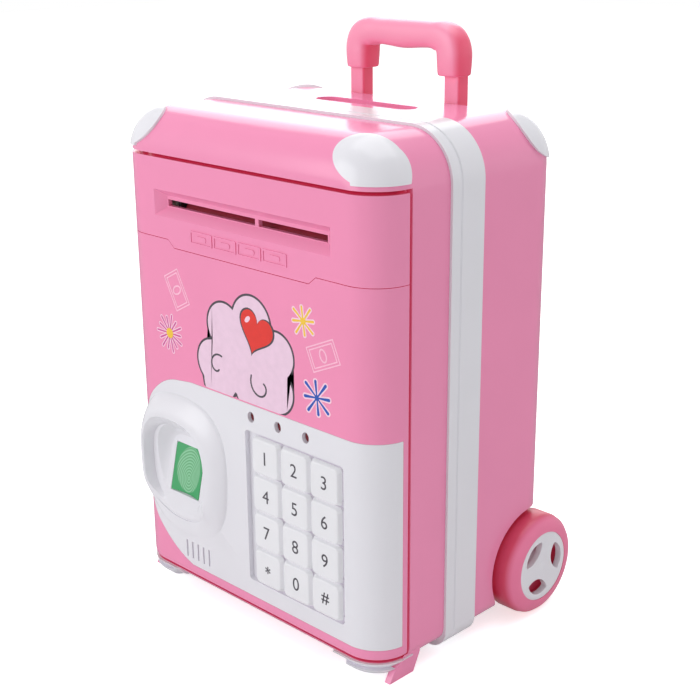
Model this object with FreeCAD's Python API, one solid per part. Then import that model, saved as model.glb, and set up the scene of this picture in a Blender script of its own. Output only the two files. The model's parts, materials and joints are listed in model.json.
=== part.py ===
"""Toy safe coin bank shaped like a small trolley suitcase.

Axes while modelling: X to the right, Y from the front face (Y = 0) into the depth, Z up from the
floor (Z = 0).  Every piece is moved by -Y_CENTRE on export, so that the part's origin lies on the
floor under the middle of its bounding box.  All sizes are in millimetres.
"""
import FreeCAD, Part
import math
import os

V = FreeCAD.Vector

# ---------------------------------------------------------------- driving dimensions
HALF_W = 68.0          # half width of the case
DEPTH = 95.0           # front face to back face
BASE_Z = 4.5           # underside of the case
TOP_Z = 193.4          # top of the case
WALL = 2.4             # moulded wall thickness
GAP = 0.12             # assembly gap between two moulded pieces

R_TOP_SIDE = 18.0      # case edges along Y, at the top
R_FRONT = 14.0         # upright and top edges of the front
R_REAR = 12.0          # upright and top edges of the back
R_BASE = 7.0           # all round the bottom

RIM_Y = (34.8, 39.7, 51.5)   # front shell | front rim | rear rim | rear shell
RIM_PROUD = 1.0              # how far the rims stand out of the shells
RIM_GROOVE = 0.5             # chamfer of the groove between the two rims
RIM_DROP = 1.6               # how much lower the rims reach than the shells

DOOR_TOP = 176.3
DOOR_BASE = 9.4
DOOR_WRAP = 14.9       # how far back the door wraps round the front corners
DOOR_GAP = 1.3
DOOR_STRIP = 2.3       # pink margin behind the white panel, along the door's free edge
HINGE_X = -62.0
HINGE_Y = 8.0
PIN_R = 1.5
PIN_FIT = 0.06         # radial clearance of every running fit

NOTE_SLOT_Z = 159.2    # middle of the banknote slot
NOTE_SLOT_H = 2.5
NOTE_SLOT_HALF = 42.3
NOTE_MOUTH_HALF = 46.7
NOTE_MOUTH_Z = (154.4, 164.4)
NOTE_MOUTH_DEEP = 3.2
NOTE_SPLIT = (146.0, 143.2)  # parting line of the upper panel: outer stretch, middle stretch
NOTE_STEP_X = (39.5, 36.0)

KEY_X0, KEY_PITCH_X = 12.5, 15.3
KEY_Z0, KEY_PITCH_Z = 73.3, 15.0
KEY_SIZE = (15.0, 14.7)
KEY_PROUD = 1.3
KEY_TRAVEL = 1.2
KEY_ROWS = (("1", "2", "3"), ("4", "5", "6"), ("7", "8", "9"), ("star", "0", "hash"))
KEYPAD_FLOOR = 2.0     # depth of the tray that the keys stand in
KEYPAD_BOX = (0.6, 51.6, 20.2, 81.4)   # tray outline: x0, x1, z0, z1

LED_X = (4.2, 18.6, 33.0)
LED_Z = 87.0

# Bowl outlines seen from the front: middle x and z, then reach to the right, left, top and bottom,
# and the squareness of the oval (2 is an ellipse).
BOWL_FOOT = (-36.5, 59.0, 26.0, 25.5, 26.0, 34.0, 2.6)
BOWL_CREST = (-39.2, 57.0, 19.6, 19.3, 19.0, 24.0, 2.6)
BOWL_FLOOR = (-37.5, 53.0, 11.6, 11.6, 12.6, 13.0, 4.0)
CREST_RISE = 4.35      # height of the bowl's rim at its top and sides
CREST_LOW = 0.16       # share of that height left at the open lower end
CREST_SWELL = 0.1      # how much further the smooth rim bulges between its rings
PAD_X, PAD_Z = -37.5, 52.5
PAD_SIZE = (17.0, 19.0)
PAD_DEPTH = 2.2        # depth of the pad's middle
PAD_LEAN = 0.231       # extra depth of the floor per millimetre of height
PAD_FLANGE_Y = 7.2

WHEEL_R = 20.0
WHEEL_Y = 85.4
WHEEL_IN, WHEEL_OUT = 61.8, 75.0
HUB_R = 13.9
AXLE_R = 2.0
WELL_R = 22.6
WINDOW_SIZE = (12.4, 6.2)     # length and width of the hub's almond windows
WINDOW_AT = 8.5              # their distance from the axle
WINDOW_TURN = 11.0           # direction of the first one, from the back towards the top
WELL_X = 59.6

POST_X = 24.4
POST_SIZE = (7.2, 6.2)
POST_Y = 88.3
POST_Z = (98.0, 207.0)
GRIP_Z = (202.6, 222.5)
GRIP_HALF = 29.6
GRIP_OPEN = 17.0
GRIP_UNDER = 212.6

COIN_SLOT = (29.0, 3.2)      # length and width of the coin slot
COIN_DISH = (49.0, 9.6)      # stadium-shaped dish round it
COIN_Y = 65.0

ROLLER_R = 3.95
ROLLER_Y = 12.4
ROLLER_HALF = 39.0
SHAFT_R = 1.25
GEAR_MODULE = 0.8

SCREW_SPOTS = ((-62.4, 54.0), (62.4, 54.0), (-62.4, 168.0), (62.4, 168.0))
DOOR_SCREW_SPOTS = ((-50.0, 120.0), (54.0, 120.0))
LEDGE_Y = 17.3         # back of the ledge that the door's free edge closes on
RIB_X = 55.0           # upright ribs that tie the door's top flange to its face

BULGE_Y = 22.0         # back of the bulge over the note feeder
BULGE_Z = (135.0, 171.5)
BATTERY_HALF_X = 26.0
BATTERY_Z = (32.0, 92.0)
BATTERY_Y = (13.0, 31.5)
CELL_R = 7.1
CELL_LENGTH = 50.0
BOLT_Y = (19.2, 25.2)
BOLT_Z = 102.0

Y_CENTRE = (WHEEL_Y + WHEEL_R - CREST_RISE - CREST_SWELL) / 2


# ---------------------------------------------------------------- small helpers
def box(x0, x1, y0, y1, z0, z1):
    """Box between two corners."""
    return Part.makeBox(x1 - x0, y1 - y0, z1 - z0, V(x0, y0, z0))


def cyl_x(radius, x0, x1, y, z):
    """Cylinder along X."""
    return Part.makeCylinder(radius, x1 - x0, V(x0, y, z), V(1, 0, 0))


def cyl_y(radius, y0, y1, x, z):
    """Cylinder along Y."""
    return Part.makeCylinder(radius, y1 - y0, V(x, y0, z), V(0, 1, 0))


def cyl_z(radius, z0, z1, x, y):
    """Cylinder along Z."""
    return Part.makeCylinder(radius, z1 - z0, V(x, y, z0), V(0, 0, 1))


def prism_y(points, y0, y1):
    """Polygon of (x, z) points, pushed from y0 to y1."""
    wire = Part.makePolygon([V(x, y0, z) for x, z in points + points[:1]])
    return Part.Face(wire).extrude(V(0, y1 - y0, 0))


def prism_x(points, x0, x1):
    """Polygon of (y, z) points, pushed from x0 to x1."""
    wire = Part.makePolygon([V(x0, y, z) for y, z in points + points[:1]])
    return Part.Face(wire).extrude(V(x1 - x0, 0, 0))


def oval_y(half_x, half_z, x, z, y0, y1):
    """Elliptic cylinder along Y."""
    solid = cyl_y(1.0, y0, y1, 0, 0)
    matrix = FreeCAD.Matrix()
    matrix.scale(half_x, 1.0, half_z)
    solid = solid.transformGeometry(matrix)
    solid.translate(V(x, 0, z))
    return solid


def ellipsoid(centre, radii):
    """Ellipsoid from a stretched unit sphere."""
    ball = Part.makeSphere(1.0)
    matrix = FreeCAD.Matrix()
    matrix.scale(*radii)
    ball = ball.transformGeometry(matrix)
    ball.translate(V(*centre))
    return ball


def edges_where(shape, test):
    """Edges whose bounding box passes the test."""
    return [e for e in shape.Edges if test(e.BoundBox)]


def along(bb, axis):
    """True where an edge's box is long only in the named axis."""
    size = {"x": bb.XLength, "y": bb.YLength, "z": bb.ZLength}
    others = [size[a] for a in size if a != axis]
    return size[axis] > 1e-3 and max(others) < 1e-3


def fillet(shape, radius, test):
    """Fillet the edges that pass the test."""
    return shape.makeFillet(radius, edges_where(shape, test))


def mirror_x(shape):
    """Mirror image in the plane X = 0."""
    return shape.mirror(V(0, 0, 0), V(1, 0, 0))


def join(shapes):
    """One solid from touching or overlapping solids."""
    result = shapes[0].fuse(shapes[1:]) if len(shapes) > 1 else shapes[0]
    return result.removeSplitter()


def rounded_box_y(x0, x1, y0, y1, z0, z1, radius):
    """Box with its four edges along Y rounded."""
    return fillet(box(x0, x1, y0, y1, z0, z1), radius, lambda b: along(b, "y"))


# ---------------------------------------------------------------- the case envelope
def case_envelope(inset):
    """The suitcase's outer form, drawn in by inset on every side."""
    i = inset
    hair = 1e-3
    base = BASE_Z + i + hair
    body = box(-HALF_W + i, HALF_W - i, i, DEPTH - i, BASE_Z + i, TOP_Z - i)
    body = fillet(body, R_TOP_SIDE - i, lambda b: along(b, "y") and b.ZMin > base)
    body = fillet(body, R_FRONT - i, lambda b: b.YMax < i + hair and b.ZMax > base)
    body = fillet(body, R_REAR - i, lambda b: b.YMin > DEPTH - i - hair and b.ZMax > base)
    return fillet(body, max(R_BASE - i, 0.8), lambda b: b.ZMax < base)


def case_section(inset, y0, y1, drop=0.0):
    """The suitcase's cross-section, pushed between two depths, its underside lowered by drop."""
    i = inset
    z0 = BASE_Z + i - drop
    body = box(-HALF_W + i, HALF_W - i, y0, y1, z0, TOP_Z - i)
    body = fillet(body, R_TOP_SIDE - i, lambda b: along(b, "y") and b.ZMin > 100)
    return fillet(body, max(R_BASE - i, 0.8), lambda b: along(b, "y") and b.ZMax < 100 and b.ZMin < z0 + 1e-3)


def skin():
    """The moulded wall all round the case."""
    return case_envelope(0.0).cut(case_envelope(WALL))


# ---------------------------------------------------------------- case shells and rims
def door_bay():
    """Space cut out of the front shell for the door."""
    return box(-HALF_W - 5, HALF_W + 5, -5, DOOR_WRAP + DOOR_GAP, DOOR_BASE - DOOR_GAP, DOOR_TOP + DOOR_GAP)


def hinge_lug(z0, z1):
    """Block inside the case that holds one hinge pin."""
    lug = box(HINGE_X - 3.4, HINGE_X + 5.5, HINGE_Y - 4.5, HINGE_Y + 7.8, z0, z1)
    return lug.common(case_envelope(WALL - 0.6))


def front_shell():
    """Front half shell: the ring that frames the door."""
    shell = skin().common(box(-80, 80, -5, RIM_Y[0], -5, 210))
    shell = shell.cut(door_bay())
    lintel_z = DOOR_TOP + DOOR_GAP
    sill_z = DOOR_BASE - DOOR_GAP
    inside = case_envelope(WALL - 0.6)
    lintel = box(-70, 70, 0, 19, lintel_z, lintel_z + WALL).common(inside)
    sill = box(-70, 70, 0, 19, sill_z - WALL, sill_z).common(inside)
    wall_x = HALF_W - WALL
    ledge = box(wall_x - 3.4, wall_x - GAP, DOOR_WRAP + 0.2, LEDGE_Y, sill_z - 1, lintel_z + 1)
    ledge_root = box(wall_x - 3.4, wall_x + 0.5, DOOR_WRAP + DOOR_GAP, LEDGE_Y, sill_z - 1, lintel_z + 1)
    lugs = [hinge_lug(lintel_z, lintel_z + 7.5), hinge_lug(sill_z - 4.0, sill_z)]
    shell = join([shell, lintel, sill, ledge, ledge_root] + lugs)
    relief_r = math.hypot(HINGE_X + HALF_W, DOOR_WRAP - HINGE_Y) + 0.45
    swing = cyl_z(relief_r, sill_z, lintel_z, HINGE_X, HINGE_Y)
    shell = shell.cut(swing)
    for z0, z1 in ((lintel_z - 1, lintel_z + 6), (sill_z - 3.2, sill_z + 1)):
        shell = shell.cut(cyl_z(PIN_R, z0, z1, HINGE_X, HINGE_Y))
    for x, z in SCREW_SPOTS:
        shell = join([shell, cyl_y(3.4, 24, RIM_Y[0], x, z).common(case_envelope(0.6))])
        shell = shell.cut(cyl_y(1.25, 25, RIM_Y[0] + 1, x, z))
    return shell


def rim(y0, y1, groove_front, groove_rear):
    """One white band round the waist of the suitcase."""
    ring = case_section(-RIM_PROUD, y0, y1, RIM_DROP)
    rise = BASE_Z - RIM_PROUD
    slope = [(RIM_Y[1], rise - RIM_DROP - 1), (RIM_Y[2] + 1, rise - RIM_DROP - 1), (RIM_Y[2] + 1, rise + 0.3),
             (RIM_Y[1] + 1.5, rise - RIM_DROP)]
    ring = ring.cut(prism_x(slope, -90, 90))
    if groove_front:
        ring = ring.makeChamfer(RIM_GROOVE, edges_where(ring, lambda b: b.YMax < y0 + 1e-3))
    if groove_rear:
        ring = ring.makeChamfer(RIM_GROOVE, edges_where(ring, lambda b: b.YMin > y1 - 1e-3))
    ring = ring.cut(case_section(WALL + 0.6, y0 - 1, y1 + 1))
    for x, z in SCREW_SPOTS:
        tower = cyl_y(3.4, y0, y1, x, z).common(case_section(0.2, y0, y1))
        ring = join([ring, tower])
        ring = ring.cut(cyl_y(1.5, y0 - 1, y1 + 1, x, z))
    return ring


def wheel_space(side, radius, x_in):
    """Cylinder about the axle, from x_in outwards on one side."""
    x0, x1 = (x_in, HALF_W + 12) if side > 0 else (-HALF_W - 12, -x_in)
    return cyl_x(radius, x0, x1, WHEEL_Y, WHEEL_R)


def coin_dish():
    """Stadium-shaped dish round the coin slot."""
    length, width = COIN_DISH
    dish = box(-length / 2, length / 2, COIN_Y - width / 2, COIN_Y + width / 2, TOP_Z - 1.4, TOP_Z + 5)
    return fillet(dish, width / 2 - 0.01, lambda b: along(b, "z"))


def coin_opening(spare):
    """The slot a coin drops through."""
    length, width = COIN_SLOT
    x, y = length / 2 + spare, width / 2 + spare
    return box(-x, x, COIN_Y - y, COIN_Y + y, TOP_Z - 20, TOP_Z + 5)


def rear_shell():
    """Rear half shell with wheel wells, handle holes and the coin dish."""
    outer = case_envelope(0.0).common(box(-80, 80, RIM_Y[2], 110, -5, 210))
    shell = outer.cut(case_envelope(WALL))
    length, width = COIN_DISH
    x, y = length / 2 + 2, width / 2 + 2
    pan = box(-x, x, COIN_Y - y, COIN_Y + y, TOP_Z - 4, TOP_Z - 1)
    shell = join([shell, pan])
    shell = shell.cut(coin_dish())
    shell = shell.cut(coin_opening(2.0))
    for side in (-1, 1):
        liner = wheel_space(side, WELL_R + 2.0, WELL_X - 2.0).common(outer)
        shell = join([shell, liner])
        shell = shell.cut(wheel_space(side, WELL_R, WELL_X))
    shell = shell.cut(cyl_x(AXLE_R, -HALF_W, HALF_W, WHEEL_Y, WHEEL_R))
    for side in (-1, 1):
        hole = post_bar(side, 0.3, TOP_Z - 30, TOP_Z + 5)
        shell = shell.cut(hole)
    for x, z in SCREW_SPOTS:
        tower = cyl_y(3.4, RIM_Y[2], DEPTH - 1, x, z).common(case_envelope(0.6))
        shell = join([shell, tower])
        shell = shell.cut(cyl_y(1.5, RIM_Y[2] - 1, DEPTH + 1, x, z))
        shell = shell.cut(cyl_y(2.9, DEPTH - 9.0, DEPTH + 1, x, z))
    return shell


def case_screws():
    """Long screws from the back that clamp rear shell, rims and front shell."""
    screws = []
    for x, z in SCREW_SPOTS:
        shank = cyl_y(1.25, 27, DEPTH - 9.0, x, z)
        head = cyl_y(2.5, DEPTH - 9.0, DEPTH - 7.2, x, z)
        cross = box(x - 1.4, x + 1.4, DEPTH - 8.0, DEPTH - 7.0, z - 0.3, z + 0.3)
        cross = cross.fuse(box(x - 0.3, x + 0.3, DEPTH - 8.0, DEPTH - 7.0, z - 1.4, z + 1.4))
        screws.append(shank.fuse(head).cut(cross))
    return Part.makeCompound(screws)


def coin_slot_plate():
    """Insert with the coin slot, seated in the dish from below."""
    length = COIN_SLOT[0]
    z0, z1 = TOP_Z - 4.0 - 1.6, TOP_Z - 4.0
    flange = box(-length / 2 - 6, length / 2 + 6, COIN_Y - 5.4, COIN_Y + 5.4, z0, z1)
    neck = coin_opening(1.9).common(box(-50, 50, 0, 100, z0, TOP_Z - 1.4))
    return join([flange, neck]).cut(coin_opening(0.0))


def front_feet():
    """Ribs under the front corners that the case stands on."""
    feet = []
    for side in (-1, 1):
        profile = [(6.5, 0.0), (19.0, 0.0), (22.5, 7.0), (22.5, 9.5), (15.0, 9.5), (9.0, 4.0)]
        x0, x1 = sorted((side * 64.8, side * 67.4))
        foot = prism_x(profile, x0, x1).cut(case_envelope(0.0))
        feet.append(largest(foot))
    return Part.makeCompound(feet)


def largest(shape):
    """The biggest solid of a shape."""
    return sorted(shape.Solids, key=lambda s: s.Volume)[-1]


GUARDS = {
    "front_top": (4.0, TOP_Z - 3.8, (19.0, 12.0, 11.5), (TOP_Z - 14.1, 210.0)),
    "rear_top": (DEPTH - 4.0, TOP_Z - 3.8, (18.0, 13.0, 12.0), (100.0, 210.0)),
    "front_base": (5.0, BASE_Z + 1.0, (22.0, 14.0, 7.0), (1.2, DOOR_BASE - DOOR_GAP - 0.4)),
}


def corner_guard(kind, side):
    """Thin domed cap over one corner of the case."""
    y, z, radii, (z_low, z_high) = GUARDS[kind]
    cap = case_envelope(-1.0).cut(case_envelope(0.0))
    field = ellipsoid((side * 65.0, y, z), radii)
    if kind == "front_top":
        field = field.fuse(ellipsoid((side * 65.0, y, TOP_Z - 8.0), (10.0, 12.8, 15.5)))
    cap = cap.common(field)
    cap = largest(cap.common(box(-80, 80, -10, 120, z_low, z_high)))
    if kind == "front_base":
        cap = largest(join([cap, corner_pad(side)]).cut(front_feet()))
        cap = largest(cap.cut(cyl_z(PIN_R + 0.2, 0.0, DOOR_BASE, HINGE_X, HINGE_Y)))
    if kind == "front_top":
        cap = cap.cut(ellipsoid((side * 57.6, -0.9, 185.6), (0.8, 0.75, 1.2)))
    return cap


def corner_pad(side):
    """Low block under the front corner, part of the corner guard."""
    lowered = case_envelope(-0.6)
    lowered.translate(V(0, 0, -2.6))
    pad = lowered.cut(case_envelope(0.0))
    pad = pad.common(ellipsoid((side * 63.0, 7.0, 4.0), (15.0, 10.0, 6.0)))
    return largest(pad.common(box(-80, 80, -10, 17, 1.2, BASE_Z + 0.4)))


def strike_plate():
    """Steel keeper on the right wall that the lock bolt runs into."""
    x1 = HALF_W - WALL
    plate = box(x1 - 1.2, x1, LEDGE_Y, 33.0, BOLT_Z - 10.0, BOLT_Z + 10.0)
    keeper = box(x1 - 6.4, x1, LEDGE_Y, LEDGE_Y + 1.4, BOLT_Z - 8.0, BOLT_Z + 8.0)
    return join([plate, keeper])


def hinge_pins():
    """The two door pivots pressed into the case."""
    upper = cyl_z(PIN_R, DOOR_TOP - 5.0, DOOR_TOP + DOOR_GAP + 6.0, HINGE_X, HINGE_Y)
    lower = cyl_z(PIN_R, DOOR_BASE - DOOR_GAP - 3.2, DOOR_BASE + 5.0, HINGE_X, HINGE_Y)
    return Part.makeCompound([upper, lower])


# ---------------------------------------------------------------- door
def note_panel_field(spare):
    """Region above the parting line of the upper panel, seen from the front."""
    outer_z, middle_z = NOTE_SPLIT
    x_out, x_in = NOTE_STEP_X
    s = spare
    return [(-90, outer_z + s), (-x_out, outer_z + s), (-x_in, middle_z + s), (x_in, middle_z + s),
            (x_out, outer_z + s), (90, outer_z + s), (90, 230), (-90, 230)]


def keypad_outline(spare):
    """Closed outline of the lower white panel, seen from the front."""
    s = spare
    spots = [(-34.0, 13.2 - s), (-52.0 - s, 24.0), (-61.0 - s, 38.0), (-63.0 - s, 57.0), (-59.5 - s, 75.0),
             (-50.0 - s, 86.5), (-38.0, 91.0 + s)]
    curve = Part.BSplineCurve()
    curve.interpolate([V(x, 0, z) for x, z in spots])
    corners = [V(-38.0, 0, 91.0 + s), V(-30.0, 0, 92.0 + s), V(90, 0, 92.0 + s), V(90, 0, 13.2 - s),
               V(-34.0, 0, 13.2 - s)]
    return Part.Wire([curve.toShape()] + list(Part.makePolygon(corners).Edges))


def keypad_field(spare, y0, y1):
    """Solid that carries the keypad outline through the skin."""
    field = Part.Face(keypad_outline(spare)).extrude(V(0, y1 - y0, 0))
    field.translate(V(0, y0, 0))
    return field


def door_skin():
    """The part of the case wall that swings with the door."""
    return skin().common(box(-80, 80, -5, DOOR_WRAP, DOOR_BASE, DOOR_TOP))


def door_shell():
    """Pink door tray: face, wrapped sides, top and bottom flanges, hinge bosses."""
    face = door_skin().cut(keypad_field(0.0, -6, DOOR_WRAP - DOOR_STRIP))
    face = face.cut(prism_y(note_panel_field(0.0), -6, 20))
    inside = case_envelope(WALL + GAP)
    touching = case_envelope(WALL - 0.6)
    top_flange = box(-70, 70, 1, DOOR_WRAP, DOOR_TOP - WALL, DOOR_TOP).common(inside)
    base_flange = box(-70, 70, 1, DOOR_WRAP, DOOR_BASE, DOOR_BASE + WALL * 0.8).common(touching)
    ribs = []
    for x in (-RIB_X, RIB_X):
        ribs.append(box(x - 1.0, x + 1.0, WALL + GAP, 12.4, 128.0, DOOR_TOP - 1.0).common(inside))
        ribs.append(box(x - 1.0, x + 1.0, WALL - 0.5, 12.4, 128.0, NOTE_SPLIT[0] - 4.0))
    tray = join([face, top_flange, base_flange] + ribs)
    bosses = (DOOR_TOP - 6.0, DOOR_TOP - 0.5, inside), (DOOR_BASE + 0.5, DOOR_BASE + 6.0, touching)
    for z0, z1, limit in bosses:
        boss = box(HINGE_X - 3.6, HINGE_X + 3.4, HINGE_Y - 3.4, HINGE_Y + 3.4, z0, z1)
        tray = join([tray, boss.common(limit)])
    for z0, z1 in ((DOOR_TOP - 5.3, DOOR_TOP + 1), (DOOR_BASE - 1, DOOR_BASE + 5.3)):
        tray = tray.cut(cyl_z(PIN_R + PIN_FIT, z0, z1, HINGE_X, HINGE_Y))
    for x, z in DOOR_SCREW_SPOTS:
        post = cyl_y(3.0, 1.2, 12.6, x, z)
        tray = join([tray, post]).cut(cyl_y(1.1, 3.5, 14, x, z))
    return tray


def note_slot_panel():
    """Upper door panel with the banknote mouth."""
    panel = door_skin().common(prism_y(note_panel_field(2 * GAP), -6, 20))
    z0, z1 = NOTE_MOUTH_Z
    back = NOTE_MOUTH_DEEP + 1.8
    block = box(-NOTE_MOUTH_HALF - 2, NOTE_MOUTH_HALF + 2, WALL - 0.5, back, z0 - 1.6, z1 + 1.6)
    panel = join([panel, block])
    panel = panel.cut(note_mouth())
    half = NOTE_SLOT_H / 2
    for x0, x1 in ((-NOTE_SLOT_HALF, 6.2), (8.0, NOTE_SLOT_HALF)):
        panel = panel.cut(box(x0, x1, 0, 12, NOTE_SLOT_Z - half, NOTE_SLOT_Z + half))
    for index in range(4):
        x0 = -26.0 + 13.1 * index
        z_mid = 149.3
        plaque = rounded_box_y(x0, x0 + 12.2, -0.35, 1.0, z_mid - 2.4, z_mid + 2.4, 0.5)
        sunk = rounded_box_y(x0 + 0.6, x0 + 11.6, -0.6, -0.05, z_mid - 1.8, z_mid + 1.8, 0.3)
        mark = rounded_box_y(x0 + 3.3, x0 + 8.9, -0.3, 0.2, z_mid - 0.9, z_mid + 0.9, 0.85)
        panel = join([panel, plaque.cut(sunk), mark])
    return panel


def note_mouth():
    """Bevelled mouth of the banknote slot: shallow at the rim, deep at the slot."""
    z0, z1 = NOTE_MOUTH_Z
    half, deep = NOTE_MOUTH_HALF, NOTE_MOUTH_DEEP
    rim_wire = Part.makePolygon([V(-half, -0.05, z0), V(half, -0.05, z0), V(half, -0.05, z1),
                                 V(-half, -0.05, z1), V(-half, -0.05, z0)])
    x1, f0, f1 = NOTE_SLOT_HALF + 0.5, NOTE_SLOT_Z - 1.6, NOTE_SLOT_Z + 2.6
    floor_wire = Part.makePolygon([V(-x1, deep, f0), V(x1, deep, f0), V(x1, deep, f1),
                                   V(-x1, deep, f1), V(-x1, deep, f0)])
    return Part.makeLoft([rim_wire, floor_wire], True, True)


def oval_point(outline, angle):
    """Point (x, z) of a bowl outline in one direction."""
    x, z, right, left, top, bottom, power = outline
    c, t = math.cos(angle), math.sin(angle)
    reach_x, reach_z = (right if c > 0 else left), (top if t > 0 else bottom)
    along_x = math.copysign(abs(c) ** (2 / power), c)
    along_z = math.copysign(abs(t) ** (2 / power), t)
    return x + reach_x * along_x, z + reach_z * along_z


def face_y(x):
    """Depth of the case's front face at a distance from the middle."""
    past = max(0.0, abs(x) - (HALF_W - R_FRONT))
    return R_FRONT - math.sqrt(R_FRONT ** 2 - past ** 2)


def floor_y(z):
    """Depth of the sloping floor that carries the pad."""
    return PAD_DEPTH + PAD_LEAN * (z - PAD_Z)


def crest_y(angle):
    """Depth of the bowl's rim: full height round the top, low at the open end."""
    share = min(1.0, max(0.0, (math.sin(angle) + 0.95) / 0.6))
    eased = share * share * (3 - 2 * share)
    return -CREST_RISE * (CREST_LOW + (1 - CREST_LOW) * eased)


def bowl_ring(place):
    """Closed smooth curve through the points that place(angle) gives."""
    count = 24
    points = [place(2 * math.pi * (step + 0.5) / count) for step in range(count)]
    curve = Part.BSplineCurve()
    curve.interpolate(points, PeriodicFlag=True)
    return Part.Wire([curve.toShape()])


def between(outline_a, outline_b, share, depth):
    """Ring part of the way from one outline to another; depth(angle, x, z) gives its y."""
    def place(angle):
        xa, za = oval_point(outline_a, angle)
        xb, zb = oval_point(outline_b, angle)
        x, z = xa + share * (xb - xa), za + share * (zb - za)
        return V(x, depth(angle, x, z), z)
    return bowl_ring(place)


def stacked(start, rings, end):
    """Solid with a smooth wall through rings, closed by flat rings at both ends."""
    walls = [Part.makeLoft([start, rings[0]], False, True), Part.makeLoft(rings, False, False),
             Part.makeLoft([rings[-1], end], False, True)]
    faces = [face for wall in walls for face in wall.Faces] + [Part.Face(start), Part.Face(end)]
    shell = Part.makeShell(faces)
    shell.sewShape()
    solid = Part.makeSolid(shell if shell.ShapeType == "Shell" else shell.Shells[0])
    if solid.Volume < 0:
        solid.reverse()
    return solid


def bowl_mound():
    """Raised ring round the finger bowl, before it is hollowed."""
    def flank(share, height):
        return between(BOWL_FOOT, BOWL_CREST, share,
                       lambda angle, x, z: (1 - height) * face_y(x) + height * crest_y(angle))
    foot = between(BOWL_FOOT, BOWL_CREST, 0.0, lambda angle, x, z: face_y(x) + 0.4)
    rings = [foot, flank(0.28, 0.45), flank(0.6, 0.80), flank(0.85, 0.965), flank(1.0, 1.0),
             flank(1.25, 0.98)]
    buried = between(BOWL_FOOT, BOWL_CREST, 0.0, lambda angle, x, z: WALL + 1.0)
    lid = between(BOWL_FOOT, BOWL_CREST, 1.6, lambda angle, x, z: 0.6)
    return stacked(buried, rings, lid)


def bowl_hollow():
    """Space of the finger bowl, from its floor out past the rim."""
    def wall(share, height):
        return between(BOWL_FLOOR, BOWL_CREST, share,
                       lambda angle, x, z: (1 - height) * floor_y(z) + height * crest_y(angle))
    rings = [wall(0.0, 0.0), wall(0.3, 0.28), wall(0.62, 0.68), wall(0.9, 0.955), wall(1.12, 1.22)]
    top = between(BOWL_FLOOR, BOWL_CREST, 1.25, lambda angle, x, z: -12.0)
    below = between(BOWL_FLOOR, BOWL_CREST, 0.0, lambda angle, x, z: floor_y(z) + 0.01)
    return stacked(below, rings, top)


def key_spots():
    """Name and centre of each key."""
    spots = []
    for row, names in enumerate(KEY_ROWS):
        for column, name in enumerate(names):
            spots.append((name, KEY_X0 + column * KEY_PITCH_X, KEY_Z0 - row * KEY_PITCH_Z))
    return spots


def keypad_panel():
    """White lower door panel with finger bowl, key tray, lamp holes and sound slits."""
    plate = door_skin().common(keypad_field(-GAP, -6, DOOR_WRAP - DOOR_STRIP - GAP))
    plate = join([plate, bowl_mound()])
    x0, x1, z0, z1 = KEYPAD_BOX
    tray_back = rounded_box_y(x0 - 1.6, x1 + 1.6, 1.2, KEYPAD_FLOOR + 1.6, z0 - 1.6, z1 + 1.6, 2.4)
    seat = oval_y(18.0, 18.5, PAD_X, PAD_Z + 2.0, 1.2, PAD_FLANGE_Y - 0.3)
    plate = join([plate, tray_back, seat])
    tray = rounded_box_y(x0, x1, -1, KEYPAD_FLOOR, z0, z1, 1.6)
    plate = plate.cut(tray).cut(bowl_hollow())
    w, h = KEY_SIZE[0] / 2 - 1.0, KEY_SIZE[1] / 2 - 1.0
    for _, x, z in key_spots():
        plate = plate.cut(box(x - w, x + w, 0, 10, z - h, z + h))
    pw, ph = PAD_SIZE[0] / 2 + 0.25, PAD_SIZE[1] / 2 + 0.25
    plate = plate.cut(box(PAD_X - pw, PAD_X + pw, -2.0, 10, PAD_Z - ph, PAD_Z + ph))
    for x in LED_X:
        plate = plate.cut(oval_y(1.75, 2.1, x, LED_Z, -1, 6))
    for index in range(5):
        x = -37.3 + 3.4 * index
        plate = plate.cut(box(x - 0.45, x + 0.45, -1, 6, 16.2, 23.4))
    return plate


def key(x, z):
    """One soft-cornered key cap with its flange."""
    w, h = KEY_SIZE[0] / 2, KEY_SIZE[1] / 2
    top, base = -KEY_PROUD, KEYPAD_FLOOR - KEY_TRAVEL - 0.35
    low = Part.makePolygon([V(x - w, base, z - h), V(x + w, base, z - h), V(x + w, base, z + h),
                            V(x - w, base, z + h), V(x - w, base, z - h)])
    draft = 1.0
    high = Part.makePolygon([V(x - w + draft, top, z - h + 0.7), V(x + w - draft, top, z - h + 0.7),
                             V(x + w - draft, top, z + h - 0.7), V(x - w + draft, top, z + h - 0.7),
                             V(x - w + draft, top, z - h + 0.7)])
    cap = Part.makeLoft([low, high], True, True)
    cap = fillet(cap, 2.2, lambda b: b.YLength > 1.0)
    cap = fillet(cap, 0.8, lambda b: b.YMax < top + 1e-3)
    stem_w, stem_h = w - 1.2, h - 1.2
    stem = rounded_box_y(x - stem_w, x + stem_w, base - 0.3, 4.1, z - stem_h, z + stem_h, 1.6)
    return join([cap, stem])


def key_membrane():
    """Silicone sheet with a dome under every key."""
    x0, x1, z0, z1 = KEYPAD_BOX
    sheet = box(x0 - 1, x1 + 1, 6.6, 7.4, z0 - 1, z1 + 1)
    for _, x, z in key_spots():
        sheet = sheet.fuse(cyl_y(3.2, 5.5, 6.7, x, z))
    return sheet.removeSplitter()


def circuit_board():
    """Main board behind the keypad."""
    _, x1, z0, z1 = KEYPAD_BOX
    board = box(-20.0, x1 + 4, 7.5, 9.1, z0 - 4, z1 + 9)
    chip = box(-16, -4, 9.1, 10.6, 60, 72)
    jack = box(-14, -7, 9.1, 11.6, 30, 38)
    return join([board, chip, jack])


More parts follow.
